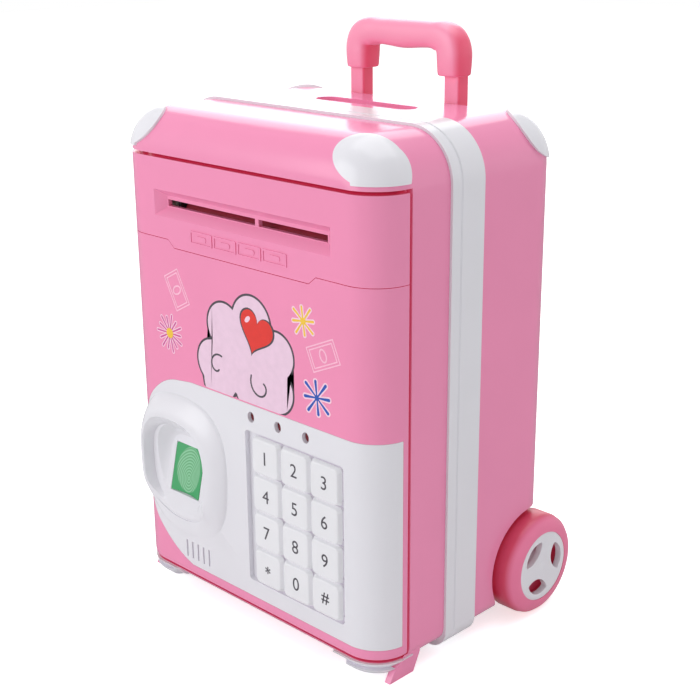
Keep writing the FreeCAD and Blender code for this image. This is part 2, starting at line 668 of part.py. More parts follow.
def finger_pad():
    """Green push pad on the sloping floor of the bowl, slightly hollow across."""
    w, h = PAD_SIZE[0] / 2, PAD_SIZE[1] / 2
    z0, z1 = PAD_Z - h, PAD_Z + h
    pad = rounded_box_y(PAD_X - w, PAD_X + w, -3.0, PAD_FLANGE_Y + 0.2, z0, z1, 0.8)
    lean = V(0, PAD_LEAN, 1)
    reach = 2 * PAD_SIZE[1]
    start = V(PAD_X, floor_y(PAD_Z) + 0.35, PAD_Z) - lean * (reach / lean.Length / 2) - V(0, 30.0, 0)
    hollow = Part.makeCylinder(30.0, reach, start, lean)
    slope = [(floor_y(z0 - 2), z0 - 2), (floor_y(z1 + 2), z1 + 2), (-9.0, z1 + 2), (-9.0, z0 - 2)]
    plane = prism_x(slope, -60, 0)
    flange = box(PAD_X - w - 1.4, PAD_X + w + 1.4, PAD_FLANGE_Y, PAD_FLANGE_Y + 1.2, z0 - 1.4, z1 + 1.4)
    return join([pad.cut(plane).cut(hollow), flange])


def led_lenses():
    """Three signal lenses."""
    lenses = []
    for x in LED_X:
        lens = oval_y(1.65, 2.0, x, LED_Z, 1.5, 6.0)
        lenses.append(lens)
    return Part.makeCompound(lenses)


def speaker():
    """Small loudspeaker behind the sound slits."""
    x, z = -30.5, 25.6
    return join([cyl_y(9.5, 5.4, 6.6, x, z), cyl_y(8.0, 6.6, 9.0, x, z), cyl_y(5.0, 9.0, 11.0, x, z)])


def door_back_cover():
    """Inner cover of the door with the bulge over the note feeder."""
    y0, y1 = 12.7, DOOR_WRAP - 0.2
    x, z0, z1 = HALF_W - WALL - 0.5, DOOR_BASE + WALL + 0.4, DOOR_TOP - WALL - 0.4
    plate = rounded_box_y(-x, x, y0, y1, z0, z1, 3.0)
    bulge = rounded_box_y(-50, 50, y1 - 0.5, BULGE_Y, BULGE_Z[0], BULGE_Z[1], 4.0)
    bulge = fillet(bulge, 2.0, lambda b: b.YMin > BULGE_Y - 1e-3)
    hollow = rounded_box_y(-48, 48, y0 - 1, BULGE_Y - 2.0, BULGE_Z[0] + 2, BULGE_Z[1] - 2, 2.4)
    plate = join([plate, bulge]).cut(hollow)
    slot_z0, slot_z1 = NOTE_SLOT_Z - 2.2, NOTE_SLOT_Z + 2.2
    plate = plate.cut(box(-NOTE_SLOT_HALF, NOTE_SLOT_HALF, y1, BULGE_Y + 5, slot_z0, slot_z1))
    plate = plate.cut(box(-BATTERY_HALF_X + 1, BATTERY_HALF_X - 1, 0, 30, BATTERY_Z[0] + 1, BATTERY_Z[1] - 1))
    for spot_x, spot_z in DOOR_SCREW_SPOTS:
        plate = plate.cut(cyl_y(1.4, 0, 20, spot_x, spot_z))
    return plate


def battery_box():
    """Tray for three cells, open to the back of the door."""
    y0, y1 = BATTERY_Y
    z0, z1 = BATTERY_Z
    x = BATTERY_HALF_X
    flange_y = DOOR_WRAP - 0.2
    tray = box(-x + 1.2, x - 1.2, y0, y1, z0 + 1.2, z1 - 1.2)
    tray = tray.cut(box(-x + 2.8, x - 2.8, y0 + 1.6, y1 + 1, z0 + 2.8, z1 - 2.8))
    flange = box(-x - 2, x + 2, flange_y, flange_y + 1.2, z0 - 2, z1 + 2)
    flange = flange.cut(box(-x + 2, x - 2, 0, 40, z0 + 2, z1 - 2))
    return join([tray, flange])


def battery_cells():
    """Three cylindrical cells, side by side."""
    cells = []
    z_mid = (BATTERY_Z[0] + BATTERY_Z[1]) / 2
    y = BATTERY_Y[0] + 1.7 + CELL_R
    for index in (-1, 0, 1):
        x = index * (2 * CELL_R + 0.6)
        z0 = z_mid - CELL_LENGTH / 2
        can = cyl_z(CELL_R, z0, z0 + CELL_LENGTH - 1.5, x, y)
        nub = cyl_z(2.6, z0 + CELL_LENGTH - 1.5, z0 + CELL_LENGTH, x, y)
        cells.append(can.fuse(nub).removeSplitter())
    return Part.makeCompound(cells)


def battery_cover():
    """Ribbed lid of the battery tray."""
    y1 = BATTERY_Y[1]
    z0, z1 = BATTERY_Z
    x = BATTERY_HALF_X
    lid = rounded_box_y(-x + 0.6, x - 0.6, y1 + 0.05, y1 + 1.9, z0 + 0.6, z1 - 0.6, 2.0)
    lid = fillet(lid, 0.6, lambda b: b.YMin > y1 + 1.9 - 1e-3)
    for index in range(3):
        z = z1 - 8 - 2.6 * index
        lid = join([lid, box(-8, 8, y1 + 1.5, y1 + 2.5, z - 0.6, z + 0.6)])
    return lid


def door_screws():
    """Screws through the back cover into the door."""
    screws = []
    for x, z in DOOR_SCREW_SPOTS:
        shank = cyl_y(1.1, 5, DOOR_WRAP - 0.2, x, z)
        head = cyl_y(2.3, DOOR_WRAP - 0.2, DOOR_WRAP + 1.2, x, z)
        slot = box(x - 1.6, x + 1.6, DOOR_WRAP + 0.6, DOOR_WRAP + 2, z - 0.3, z + 0.3)
        screws.append(shank.fuse(head).cut(slot).removeSplitter())
    return Part.makeCompound(screws)


# ---------------------------------------------------------------- note feeder
def roller_z(which):
    """Height of the driven (0) or pinch (1) roller axis."""
    return NOTE_SLOT_Z + (ROLLER_R + 0.1) * (-1, 1)[which]


def roller(which):
    """Rubber roller as long as a banknote is wide."""
    tube = cyl_x(ROLLER_R, -ROLLER_HALF, ROLLER_HALF, ROLLER_Y, roller_z(which))
    return tube.cut(cyl_x(SHAFT_R, -60, 60, ROLLER_Y, roller_z(which)))


def shaft(which):
    """Steel shaft of a roller."""
    x0 = (-47.0, -42.5)[which]
    return cyl_x(SHAFT_R, x0, 42.5, ROLLER_Y, roller_z(which))


def feed_frame():
    """Bracket with the four shaft bearings."""
    z0, z1 = roller_z(0) - 4.6, roller_z(1) + 4.8
    cheeks = []
    for x0 in (-41.4, 39.8):
        cheek = box(x0, x0 + 1.6, ROLLER_Y - 5.2, ROLLER_Y + 5.2, z0, z1)
        for which in (0, 1):
            cheek = cheek.cut(cyl_x(SHAFT_R + PIN_FIT, x0 - 1, x0 + 3, ROLLER_Y, roller_z(which)))
        cheeks.append(cheek)
    bar = box(-41.4, 41.4, ROLLER_Y - 4, ROLLER_Y + 5.2, z1 - 0.4, z1 + 1.2)
    return join(cheeks + [bar])


def gear(teeth, bore_r, x0, x1, y, z, turn):
    """Spur gear about an axis along X, with slim straight-sided teeth."""
    pitch_r = GEAR_MODULE * teeth / 2
    root_r = pitch_r - 1.25 * GEAR_MODULE
    tip_r = pitch_r + 0.85 * GEAR_MODULE
    step = 2 * math.pi / teeth
    points = []
    for index in range(teeth):
        middle = turn + index * step
        for radius, share in ((root_r, -0.30), (tip_r, -0.11), (tip_r, 0.11), (root_r, 0.30)):
            angle = middle + share * step
            points.append((y + radius * math.cos(angle), z + radius * math.sin(angle)))
    return prism_x(points, x0, x1).cut(cyl_x(bore_r, x0 - 1, x1 + 1, y, z))


FEED_TEETH, PINION_TEETH = 16, 10
FEED_CENTRES = GEAR_MODULE * (FEED_TEETH + PINION_TEETH) / 2
MOTOR_Z = NOTE_SLOT_Z - ROLLER_R - 0.1 - FEED_CENTRES


def feed_gear():
    """Gear on the driven roller's shaft."""
    return gear(FEED_TEETH, SHAFT_R, -46.6, -43.6, ROLLER_Y, roller_z(0), -math.pi / 2)


def motor_pinion():
    """Pinion on the motor shaft, meshed with the feed gear."""
    half_step = math.pi / PINION_TEETH
    return gear(PINION_TEETH, 1.0, -46.6, -43.6, ROLLER_Y, MOTOR_Z, math.pi / 2 + half_step)


def feed_motor():
    """Flat-sided motor under the rollers, with its shaft end."""
    body = cyl_x(6.0, -39.6, -16, ROLLER_Y, MOTOR_Z)
    body = body.common(box(-60, 0, ROLLER_Y - 5, ROLLER_Y + 5, 0, 200))
    nose = cyl_x(2.6, -42, -39.6, ROLLER_Y, MOTOR_Z)
    return join([body, nose])


def motor_shaft():
    """Shaft that carries the pinion."""
    return cyl_x(1.0, -47.0, -42.05, ROLLER_Y, MOTOR_Z)


# ---------------------------------------------------------------- lock
def lock_bolt():
    """Sliding bolt, drawn back; it runs into the keeper to lock."""
    z = BOLT_Z
    return rounded_box_y(36.0, 58.0, BOLT_Y[0], BOLT_Y[1], z - 3.4, z + 3.4, 0.8)


def lock_housing():
    """Guide and solenoid case of the bolt, on the door's inner cover."""
    z = BOLT_Z
    y0, y1 = DOOR_WRAP - 0.2, BOLT_Y[1] + 2.0
    housing = rounded_box_y(30.0, 55.0, y0, y1, z - 6.4, z + 6.4, 1.5)
    channel = box(29.0, 60.0, BOLT_Y[0] - 0.25, BOLT_Y[1] + 0.25, z - 3.65, z + 3.65)
    back = box(28.0, 31.5, y0, y1, z - 6.4, z + 6.4)
    return join([housing.cut(channel), back])


# ---------------------------------------------------------------- wheels
def revolve_about_axle(profile):
    """Turn a (x, radius) outline about the wheel axle."""
    wire = Part.makePolygon([V(x, WHEEL_Y + r, WHEEL_R) for x, r in profile + profile[:1]])
    return Part.Face(wire).revolve(V(0, WHEEL_Y, WHEEL_R), V(1, 0, 0), 360)


def wheel_tyre():
    """Pink tyre with a web behind the hub disc."""
    x0, x1, r = WHEEL_IN, WHEEL_OUT, WHEEL_R
    profile = [(x0, 6.05), (x0, r - 1.6), (x0 + 0.5, r - 0.5), (x0 + 1.8, r), (x1 - 4.6, r),
               (x1 - 2.6, r - 0.5),
               (x1 - 1.2, r - 1.7), (x1 - 0.4, r - 3.4), (x1, HUB_R + 0.9), (x1, HUB_R), (x0 + 7.0, HUB_R),
               (x0 + 7.0, 6.05)]
    return revolve_about_axle(profile)


def wheel_hub():
    """White hub: barrel on the axle and a face with three windows."""
    x0, x1 = WHEEL_IN, WHEEL_OUT
    rim = HUB_R - 0.03
    profile = [(x0, AXLE_R + PIN_FIT), (x0, 6.0), (x0 + 7.05, 6.0), (x1 - 2.6, 5.0), (x1 - 2.6, rim),
               (x1 - 0.2, rim), (x1, HUB_R - 1.0), (x1 - 0.1, HUB_R - 2.6), (x1 - 0.5, 0.0),
               (x1 - 1.6, 0.0), (x1 - 1.6, AXLE_R + PIN_FIT)]
    hub = revolve_about_axle(profile)
    for index in range(3):
        hub = hub.cut(hub_window(WINDOW_TURN + 120 * index, x1 - 2.7, x1 + 1))
    return hub


def hub_window(degrees, x0, x1):
    """Almond-shaped window across one spoke direction of the hub."""
    half_length, half_width = WINDOW_SIZE[0] / 2, WINDOW_SIZE[1] / 2
    radius = (half_length ** 2 + half_width ** 2) / (2 * half_width)
    y = WHEEL_Y + WINDOW_AT
    almond = cyl_x(radius, x0, x1, y - radius + half_width, WHEEL_R)
    almond = almond.common(cyl_x(radius, x0, x1, y + radius - half_width, WHEEL_R))
    almond = fillet(almond, 0.7, lambda b: along(b, "x"))
    almond.rotate(V(0, WHEEL_Y, WHEEL_R), V(1, 0, 0), degrees)
    return almond


def axle():
    """Through axle."""
    return cyl_x(AXLE_R, -WHEEL_OUT + 2.0, WHEEL_OUT - 2.0, WHEEL_Y, WHEEL_R)


# ---------------------------------------------------------------- handle
def post_bar(side, spare, z0, z1):
    """Square bar on the line of one handle post."""
    w, d = POST_SIZE[0] / 2 + spare, POST_SIZE[1] / 2 + spare
    x = side * POST_X
    bar = box(x - w, x + w, POST_Y - d, POST_Y + d, z0, z1)
    return fillet(bar, 1.0, lambda b: along(b, "z"))


def handle_post(side):
    """Sliding post of the handle."""
    return post_bar(side, 0.0, POST_Z[0], POST_Z[1] - 3.7)


def handle_guides():
    """Two guide sleeves inside the rear shell."""
    sleeves = []
    for side in (-1, 1):
        w, d = POST_SIZE[0] / 2 + 0.3, POST_SIZE[1] / 2 + 0.3
        x = side * POST_X
        sleeve = box(x - w - 1.4, x + w + 1.4, POST_Y - d - 1.4, DEPTH - WALL - 0.1, 104.0, 176.0)
        sleeves.append(sleeve.cut(post_bar(side, 0.3, 80, 200)))
    return Part.makeCompound(sleeves)


def handle_grip():
    """Soft-edged loop grip with a swell for the palm."""
    z0, z1 = GRIP_Z
    half, opening = GRIP_HALF, GRIP_OPEN
    y0, y1 = POST_Y - 6.0, POST_Y + 5.6
    right = [(half - 7.0, z1 - 0.5), (half - 3.0, z1 - 2.4), (half - 0.4, z1 - 6.5), (half, z0 + 8),
             (half - 1.6, z0), (opening + 2.2, z0), (opening + 0.8, z0 + 1.5), (opening, z0 + 6.0),
             (opening - 1.6, GRIP_UNDER - 0.8), (opening - 4.0, GRIP_UNDER),
             (opening - 9.0, GRIP_UNDER - 0.7)]
    left = [(-x, z) for x, z in reversed(right)]
    outline = [(0.0, z1)] + right + [(0.0, GRIP_UNDER - 1.3)] + left
    grip = prism_y(outline, y0, y1)
    grip = grip.makeFillet(2.6, edges_where(grip, lambda b: b.YMax < y0 + 1e-3 or b.YMin > y1 - 1e-3))
    for side in (-1, 1):
        grip = grip.cut(post_bar(side, 0.0, z0 - 1, POST_Z[1] - 3.7))
    return grip


# ---------------------------------------------------------------- export
def build_parts():
    """Every node's name and shape."""
    nodes = {
        "front_shell": front_shell(),
        "rear_shell": rear_shell(),
        "front_rim": rim(RIM_Y[0], RIM_Y[1], False, True),
        "rear_rim": rim(RIM_Y[1], RIM_Y[2], True, False),
        "case_screws": case_screws(),
        "coin_slot_plate": coin_slot_plate(),
        "front_feet": front_feet(),
        "strike_plate": strike_plate(),
        "hinge_pins": hinge_pins(),
        "handle_guides": handle_guides(),
        "wheel_axle": axle(),
        "door_shell": door_shell(),
        "note_slot_panel": note_slot_panel(),
        "keypad_panel": keypad_panel(),
        "key_membrane": key_membrane(),
        "circuit_board": circuit_board(),
        "fingerprint_pad": finger_pad(),
        "signal_lenses": led_lenses(),
        "speaker": speaker(),
        "door_back_cover": door_back_cover(),
        "battery_box": battery_box(),
        "battery_cells": battery_cells(),
        "battery_cover": battery_cover(),
        "door_screws": door_screws(),
        "drive_roller": roller(0),
        "drive_shaft": shaft(0),
        "pinch_roller": roller(1),
        "pinch_shaft": shaft(1),
        "feed_frame": feed_frame(),
        "feed_gear": feed_gear(),
        "motor_pinion": motor_pinion(),
        "motor_shaft": motor_shaft(),
        "feed_motor": feed_motor(),
        "lock_bolt": lock_bolt(),
        "lock_housing": lock_housing(),
        "handle_grip": handle_grip(),
    }
    for name, x, z in key_spots():
        nodes["key_" + name] = key(x, z)
    for side, word in ((-1, "left"), (1, "right")):
        for kind in GUARDS:
            nodes["corner_guard_" + kind + "_" + word] = corner_guard(kind, side)
        nodes["handle_post_" + word] = handle_post(side)
        tyre, hub = wheel_tyre(), wheel_hub()
        nodes["wheel_tyre_" + word] = tyre if side > 0 else mirror_x(tyre)
        nodes["wheel_hub_" + word] = hub if side > 0 else mirror_x(hub)
    return nodes


def main():
    """Write one STEP file per node."""
    os.makedirs("parts", exist_ok=True)
    for name, shape in build_parts().items():
        placed = shape.copy()
        placed.translate(V(0, -Y_CENTRE, 0))
        state = "ok" if placed.isValid() else "INVALID"
        print(name, state, len(placed.Solids), "solids", round(placed.Volume))
        placed.exportStep("parts/" + name + ".step")


main()
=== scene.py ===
"""Looks of a toy safe coin bank that is shaped like a small trolley suitcase."""
import json
import logging
import math
from dataclasses import dataclass, field
from enum import Enum
from typing import Iterable, Sequence

import bmesh
import bpy
from mathutils import Matrix, Vector


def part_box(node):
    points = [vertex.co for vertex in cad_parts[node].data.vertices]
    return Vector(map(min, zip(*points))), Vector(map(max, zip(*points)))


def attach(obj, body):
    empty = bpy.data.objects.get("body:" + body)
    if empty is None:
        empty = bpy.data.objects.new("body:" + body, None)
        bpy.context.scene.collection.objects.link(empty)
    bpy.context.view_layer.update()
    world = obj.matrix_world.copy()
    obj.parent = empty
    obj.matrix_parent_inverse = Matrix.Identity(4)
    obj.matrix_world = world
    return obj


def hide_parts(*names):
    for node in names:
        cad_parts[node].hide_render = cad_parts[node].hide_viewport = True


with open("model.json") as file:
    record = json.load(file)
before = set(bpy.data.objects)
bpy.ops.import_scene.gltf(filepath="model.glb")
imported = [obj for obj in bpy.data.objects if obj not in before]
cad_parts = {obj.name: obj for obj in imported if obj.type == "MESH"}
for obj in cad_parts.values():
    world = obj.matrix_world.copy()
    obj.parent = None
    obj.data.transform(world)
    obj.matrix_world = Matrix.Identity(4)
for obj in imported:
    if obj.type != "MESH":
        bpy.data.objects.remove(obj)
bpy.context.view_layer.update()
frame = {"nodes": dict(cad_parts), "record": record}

LOG = logging.getLogger("coin_bank")
MM = 0.001
NODES: dict[str, bpy.types.Object] = frame["nodes"]


# ---------------------------------------------------------------------------- small tools
def linear(code: str) -> tuple[float, float, float, float]:
    """Turn an sRGB hex colour into linear RGBA.

    Args:
        code: Six hex digits, such as "F4A0C0".

    Returns:
        The linear colour with an alpha of 1.
    """
    values = [int(code[i:i + 2], 16) / 255 for i in (0, 2, 4)]
    red, green, blue = (v / 12.92 if v <= 0.04045 else ((v + 0.055) / 1.055) ** 2.4 for v in values)
    return red, green, blue, 1.0


def add_node(tree: bpy.types.NodeTree, kind: str, settings: dict | None = None, links: dict | None = None,
             **attributes: object) -> bpy.types.Node:
    """Add one shader node with its settings and incoming links.

    Args:
        tree: The node tree that gets the node.
        kind: The node's type name, such as "ShaderNodeTexNoise".
        settings: Input socket name or index to value.
        links: Input socket name or index to the output socket that feeds it.
        **attributes: Properties of the node itself.

    Returns:
        The new node.
    """
    node = tree.nodes.new(kind)
    for name, value in attributes.items():
        setattr(node, name, value)
    for name, value in (settings or {}).items():
        node.inputs[name].default_value = value
    for name, source in (links or {}).items():
        tree.links.new(source, node.inputs[name])
    return node


def placed(x: float, y: float, z: float) -> Vector:
    """Point in metres from millimetres, with y counted back from the front face of the door."""
    return Vector((x * MM, FRONT_Y + y * MM, z * MM))


FRONT_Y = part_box("door_shell")[0].y


# ---------------------------------------------------------------------------- finishes
class Pink(Enum):
    """sRGB colours of the pink mouldings and of the shade painted on them in gaps and, for the handle and
    tyre, on sideways faces.
    """

    CASE = "F092B8"
    CASE_PAINTED_SHADE = "CF3358"
    HANDLE = "F79AB8"
    HANDLE_PAINTED_SHADE = "F04468"
    TYRE = "EE7CA2"
    TYRE_PAINTED_SHADE = "D32F50"


@dataclass(frozen=True)
class Finish:
    """Base of every finish: a Principled shader fed by subclasses.

    Attributes:
        name: The finish's name.
        colour: sRGB hex of the main colour.
        roughness: Microfacet roughness.
    """

    name: str
    colour: str
    roughness: float = 0.4

    def dress(self, tree: bpy.types.NodeTree, place: bpy.types.NodeSocket, shader: bpy.types.Node) -> None:
        """Feed the shader. Subclasses add their pattern here.

        Args:
            tree: The material's node tree.
            place: Object coordinates, in metres.
            shader: The Principled shader.
        """
        raise NotImplementedError

    def build(self) -> bpy.types.Material:
        """Make the material and return it."""
        material = bpy.data.materials.new(self.name)
        material.use_nodes = True
        tree = material.node_tree
        tree.nodes.clear()
        place = add_node(tree, "ShaderNodeTexCoord").outputs["Object"]
        shader = add_node(tree, "ShaderNodeBsdfPrincipled", {"Roughness": self.roughness, "IOR": 1.5})
        self.dress(tree, place, shader)
        add_node(tree, "ShaderNodeOutputMaterial", {}, {"Surface": shader.outputs["BSDF"]})
        return material

    def noise(self, tree: bpy.types.NodeTree, place: bpy.types.NodeSocket, cell_mm: float, low: float,
              high: float, detail: float = 2.0) -> bpy.types.NodeSocket:
        """Noise stretched between two values.

        Args:
            tree: The material's node tree.
            place: Object coordinates.
            cell_mm: Size of one cell.
            low: Value at the bottom of the noise.
            high: Value at its top.
            detail: Octaves.

        Returns:
            The stretched noise.
        """
        texture = add_node(tree, "ShaderNodeTexNoise", {"Scale": 1 / (cell_mm * MM), "Detail": detail},
                           {"Vector": place})
        spread = add_node(tree, "ShaderNodeMapRange", {"From Min": 0.25, "From Max": 0.75, "To Min": low,
                                                       "To Max": high}, {"Value": texture.outputs["Fac"]})
        return spread.outputs["Result"]

    def grain(self, tree: bpy.types.NodeTree, place: bpy.types.NodeSocket, shader: bpy.types.Node,
              cell_mm: float, height_mm: float) -> None:
        """Give the shader a bump of fine noise.

        Args:
            tree: The material's node tree.
            place: Object coordinates.
            shader: The Principled shader.
            cell_mm: Size of one grain.
            height_mm: Its height.
        """
        texture = add_node(tree, "ShaderNodeTexNoise", {"Scale": 1 / (cell_mm * MM), "Detail": 2.0},
                           {"Vector": place})
        bump = add_node(tree, "ShaderNodeBump", {"Strength": 0.5, "Distance": height_mm * MM},
                        {"Height": texture.outputs["Fac"]})
        tree.links.new(bump.outputs["Normal"], shader.inputs["Normal"])

    def toned(self, tree: bpy.types.NodeTree, source: bpy.types.NodeSocket,
              tone: bpy.types.NodeSocket) -> bpy.types.NodeSocket:
        """Colour with its brightness multiplied by a tone."""
        shade = add_node(tree, "ShaderNodeHueSaturation", {}, {"Color": source, "Value": tone})
        return shade.outputs["Color"]

    def flat(self, tree: bpy.types.NodeTree, code: str) -> bpy.types.NodeSocket:
        """Colour node for one hex code."""
        node = add_node(tree, "ShaderNodeRGB")
        node.outputs[0].default_value = linear(code)
        return node.outputs[0]


@dataclass(frozen=True)
class MouldedPlastic(Finish):
    """Glossy injection moulding with a fine orange peel, with shade and a glow painted into its gaps.

    Attributes:
        deep: sRGB hex of the painted shade that the colour runs to in narrow gaps, in place of light bounced
            between coloured walls.
        glow: Strength of the painted glow, in the shade colour, that a gap gives off.
        gap_mm: How near another wall has to be to count as a gap.
        peel_mm: Size of one orange-peel cell.
        painted_shade_faces: Sideways slope of the faces at which the painted side shade starts and where it
            is full.
    """

    # Default colour of the shade painted into gaps.
    deep: str = "C9C2CB"
    glow: float = 0.0
    gap_mm: float = 7.0
    peel_mm: float = 1.6
    painted_shade_faces: tuple[float, float] | None = None

    def dress(self, tree: bpy.types.NodeTree, place: bpy.types.NodeSocket, shader: bpy.types.Node) -> None:
        """Paint shade into gaps by running from the open colour to the shade colour, paint a glow there, and
        add a slow drift of tone.
        """
        # Ambient occlusion marks the gaps where shade and a glow are painted.
        gap = add_node(tree, "ShaderNodeAmbientOcclusion", {"Distance": self.gap_mm * MM}, samples=6)
        depth = add_node(tree, "ShaderNodeMapRange", {"From Min": 0.08, "From Max": 0.5},
                         {"Value": gap.outputs["AO"]})
        openness = depth.outputs["Result"]
        # Sideways faces can take the painted shade as well.
        if self.painted_shade_faces:
            openness = self.paint_side_shade(tree, openness)
        mixed = add_node(tree, "ShaderNodeMix", {"A": linear(self.deep), "B": linear(self.colour)},
                         {"Factor": openness}, data_type="RGBA")
        tone = self.noise(tree, place, 45.0, 0.98, 1.02)
        tree.links.new(self.toned(tree, mixed.outputs["Result"], tone), shader.inputs["Base Color"])
        # Painted glow: gaps give off light in the shade colour, though nothing there is a lamp.
        painted_gap_glow = add_node(tree, "ShaderNodeMapRange", {"To Min": self.glow, "To Max": 0.0},
                        {"Value": depth.outputs["Result"]})
        tree.links.new(painted_gap_glow.outputs["Result"], shader.inputs["Emission Strength"])
        shader.inputs["Emission Color"].default_value = linear(self.deep)
        self.grain(tree, place, shader, self.peel_mm, 0.006)

    def paint_side_shade(self, tree: bpy.types.NodeTree, openness: bpy.types.NodeSocket) -> bpy.types.NodeSocket:
        """Paint side shade: lower the openness of faces by how far they turn sideways.

        Args:
            tree: The material's node tree.
            openness: 1 in the open, 0 in a gap.

        Returns:
            The lowered openness.
        """
        first, full = self.painted_shade_faces
        normal = add_node(tree, "ShaderNodeTexCoord").outputs["Normal"]
        axes = add_node(tree, "ShaderNodeSeparateXYZ", {}, {"Vector": normal})
        slope = add_node(tree, "ShaderNodeMath", {}, {0: axes.outputs["X"]}, operation="ABSOLUTE")
        keep = add_node(tree, "ShaderNodeMapRange", {"From Min": first, "From Max": full, "To Min": 1.0,
                                                     "To Max": 0.2}, {"Value": slope.outputs["Value"]})
        product = add_node(tree, "ShaderNodeMath", {}, {0: openness, 1: keep.outputs["Result"]},
                           operation="MULTIPLY")
        return product.outputs["Value"]


@dataclass(frozen=True)
class Ink(Finish):
    """Pad-printed ink with a slightly uneven film."""

    def dress(self, tree: bpy.types.NodeTree, place: bpy.types.NodeSocket, shader: bpy.types.Node) -> None:
        """Vary the film's density."""
        tone = self.noise(tree, place, 3.0, 0.95, 1.03, 4.0)
        tree.links.new(self.toned(tree, self.flat(tree, self.colour), tone), shader.inputs["Base Color"])
        self.grain(tree, place, shader, 0.4, 0.002)


@dataclass(frozen=True)
class FingerprintPad(Finish):
    """Green push pad with a pale oval of fingerprint ridges.

    Attributes:
        pale: sRGB hex of the oval.
        line: sRGB hex of the furrows between the ridges.
        half_mm: Half width and half height of the oval.
        ridge_mm: Distance between ridges.
    """

    pale: str = "8FCBA0"
    line: str = "5FA877"
    half_mm: tuple[float, float] = (6.9, 8.9)
    ridge_mm: float = 0.85

    def dress(self, tree: bpy.types.NodeTree, place: bpy.types.NodeSocket, shader: bpy.types.Node) -> None:
        """Mix ridges into an oval centred on the pad."""
        low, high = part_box("fingerprint_pad")
        centre = (low + high) / 2
        around = add_node(tree, "ShaderNodeMapping", {"Location": tuple(-centre)}, {"Vector": place})
        oval = add_node(tree, "ShaderNodeMapping",
                        {"Scale": (1 / (self.half_mm[0] * MM), 0.0, 1 / (self.half_mm[1] * MM))},
                        {"Vector": around.outputs["Vector"]})
        radius = add_node(tree, "ShaderNodeVectorMath", {}, {0: oval.outputs["Vector"]}, operation="LENGTH")
        inside = add_node(tree, "ShaderNodeMapRange", {"From Min": 1.03, "From Max": 0.97},
                          {"Value": radius.outputs["Value"]})
        squash = add_node(tree, "ShaderNodeMapping",
                          {"Location": (0.0, 0.0, 2.5 * MM), "Scale": (1.0, 0.0, 0.72)},
                          {"Vector": around.outputs["Vector"]})
        ridges = add_node(tree, "ShaderNodeTexWave",
                          {"Scale": 2 * math.pi / (20 * self.ridge_mm * MM), "Distortion": 2.6, "Detail": 1.0,
                           "Detail Scale": 0.35},
                          {"Vector": squash.outputs["Vector"]}, wave_type="RINGS",
                          rings_direction="SPHERICAL")
        pattern = add_node(tree, "ShaderNodeMix", {"A": linear(self.line), "B": linear(self.pale)},
                           {"Factor": ridges.outputs["Fac"]}, data_type="RGBA")
        mixed = add_node(tree, "ShaderNodeMix", {"A": linear(self.colour)},
                         {"Factor": inside.outputs["Result"], "B": pattern.outputs["Result"]},
                         data_type="RGBA")
        tree.links.new(mixed.outputs["Result"], shader.inputs["Base Color"])
        self.grain(tree, place, shader, 0.8, 0.004)


@dataclass(frozen=True)
class TintedLens(Finish):
    """Dark tinted lamp lens."""

    def dress(self, tree: bpy.types.NodeTree, place: bpy.types.NodeSocket, shader: bpy.types.Node) -> None:
        """Lay a faint mottle under a clear face."""
        tone = self.noise(tree, place, 1.2, 0.8, 1.2)
        tree.links.new(self.toned(tree, self.flat(tree, self.colour), tone), shader.inputs["Base Color"])
        shader.inputs["Coat Weight"].default_value = 0.4


@dataclass(frozen=True)
class PlatedSteel(Finish):
    """Zinc-plated steel, drawn along its length."""

    def dress(self, tree: bpy.types.NodeTree, place: bpy.types.NodeSocket, shader: bpy.types.Node) -> None:
        """Streak the roughness along X and spangle the tone."""
        streak = add_node(tree, "ShaderNodeMapping", {"Scale": (0.06, 1.0, 1.0)}, {"Vector": place})
        rough = self.noise(tree, streak.outputs["Vector"], 0.35, self.roughness - 0.08, self.roughness + 0.12)
        tone = self.noise(tree, place, 2.5, 0.9, 1.08)
        tree.links.new(rough, shader.inputs["Roughness"])
        tree.links.new(self.toned(tree, self.flat(tree, self.colour), tone), shader.inputs["Base Color"])
        shader.inputs["Metallic"].default_value = 1.0


@dataclass(frozen=True)
class SoftRubber(Finish):
    """Matte rubber or silicone with a powdery grain."""

    def dress(self, tree: bpy.types.NodeTree, place: bpy.types.NodeSocket, shader: bpy.types.Node) -> None:
        """Mottle the tone and roughen the face."""
        tone = self.noise(tree, place, 4.0, 0.88, 1.1, 4.0)
        tree.links.new(self.toned(tree, self.flat(tree, self.colour), tone), shader.inputs["Base Color"])
        self.grain(tree, place, shader, 0.3, 0.02)


@dataclass(frozen=True)
class CircuitBoard(Finish):
    """Solder mask over copper tracks.

    Attributes:
        track: sRGB hex where a track lies under the mask.
    """

    track: str = "1F8A4C"

    def dress(self, tree: bpy.types.NodeTree, place: bpy.types.NodeSocket, shader: bpy.types.Node) -> None:
        """Draw square track cells under the mask."""
        cells = add_node(tree, "ShaderNodeTexBrick",
                         {"Scale": 1 / (6 * MM), "Color1": linear(self.colour), "Color2": linear(self.track),
                          "Mortar": linear(self.track), "Mortar Size": 0.04},
                         {"Vector": self.face_on(tree, place)})
        tree.links.new(cells.outputs["Color"], shader.inputs["Base Color"])
        shader.inputs["Coat Weight"].default_value = 0.3

    def face_on(self, tree: bpy.types.NodeTree, place: bpy.types.NodeSocket) -> bpy.types.NodeSocket:
        """Turn the coordinates so that the pattern lies across the board."""
        turned = add_node(tree, "ShaderNodeMapping", {"Rotation": (math.radians(-90), 0.0, 0.0)},
                          {"Vector": place})
        return turned.outputs["Vector"]


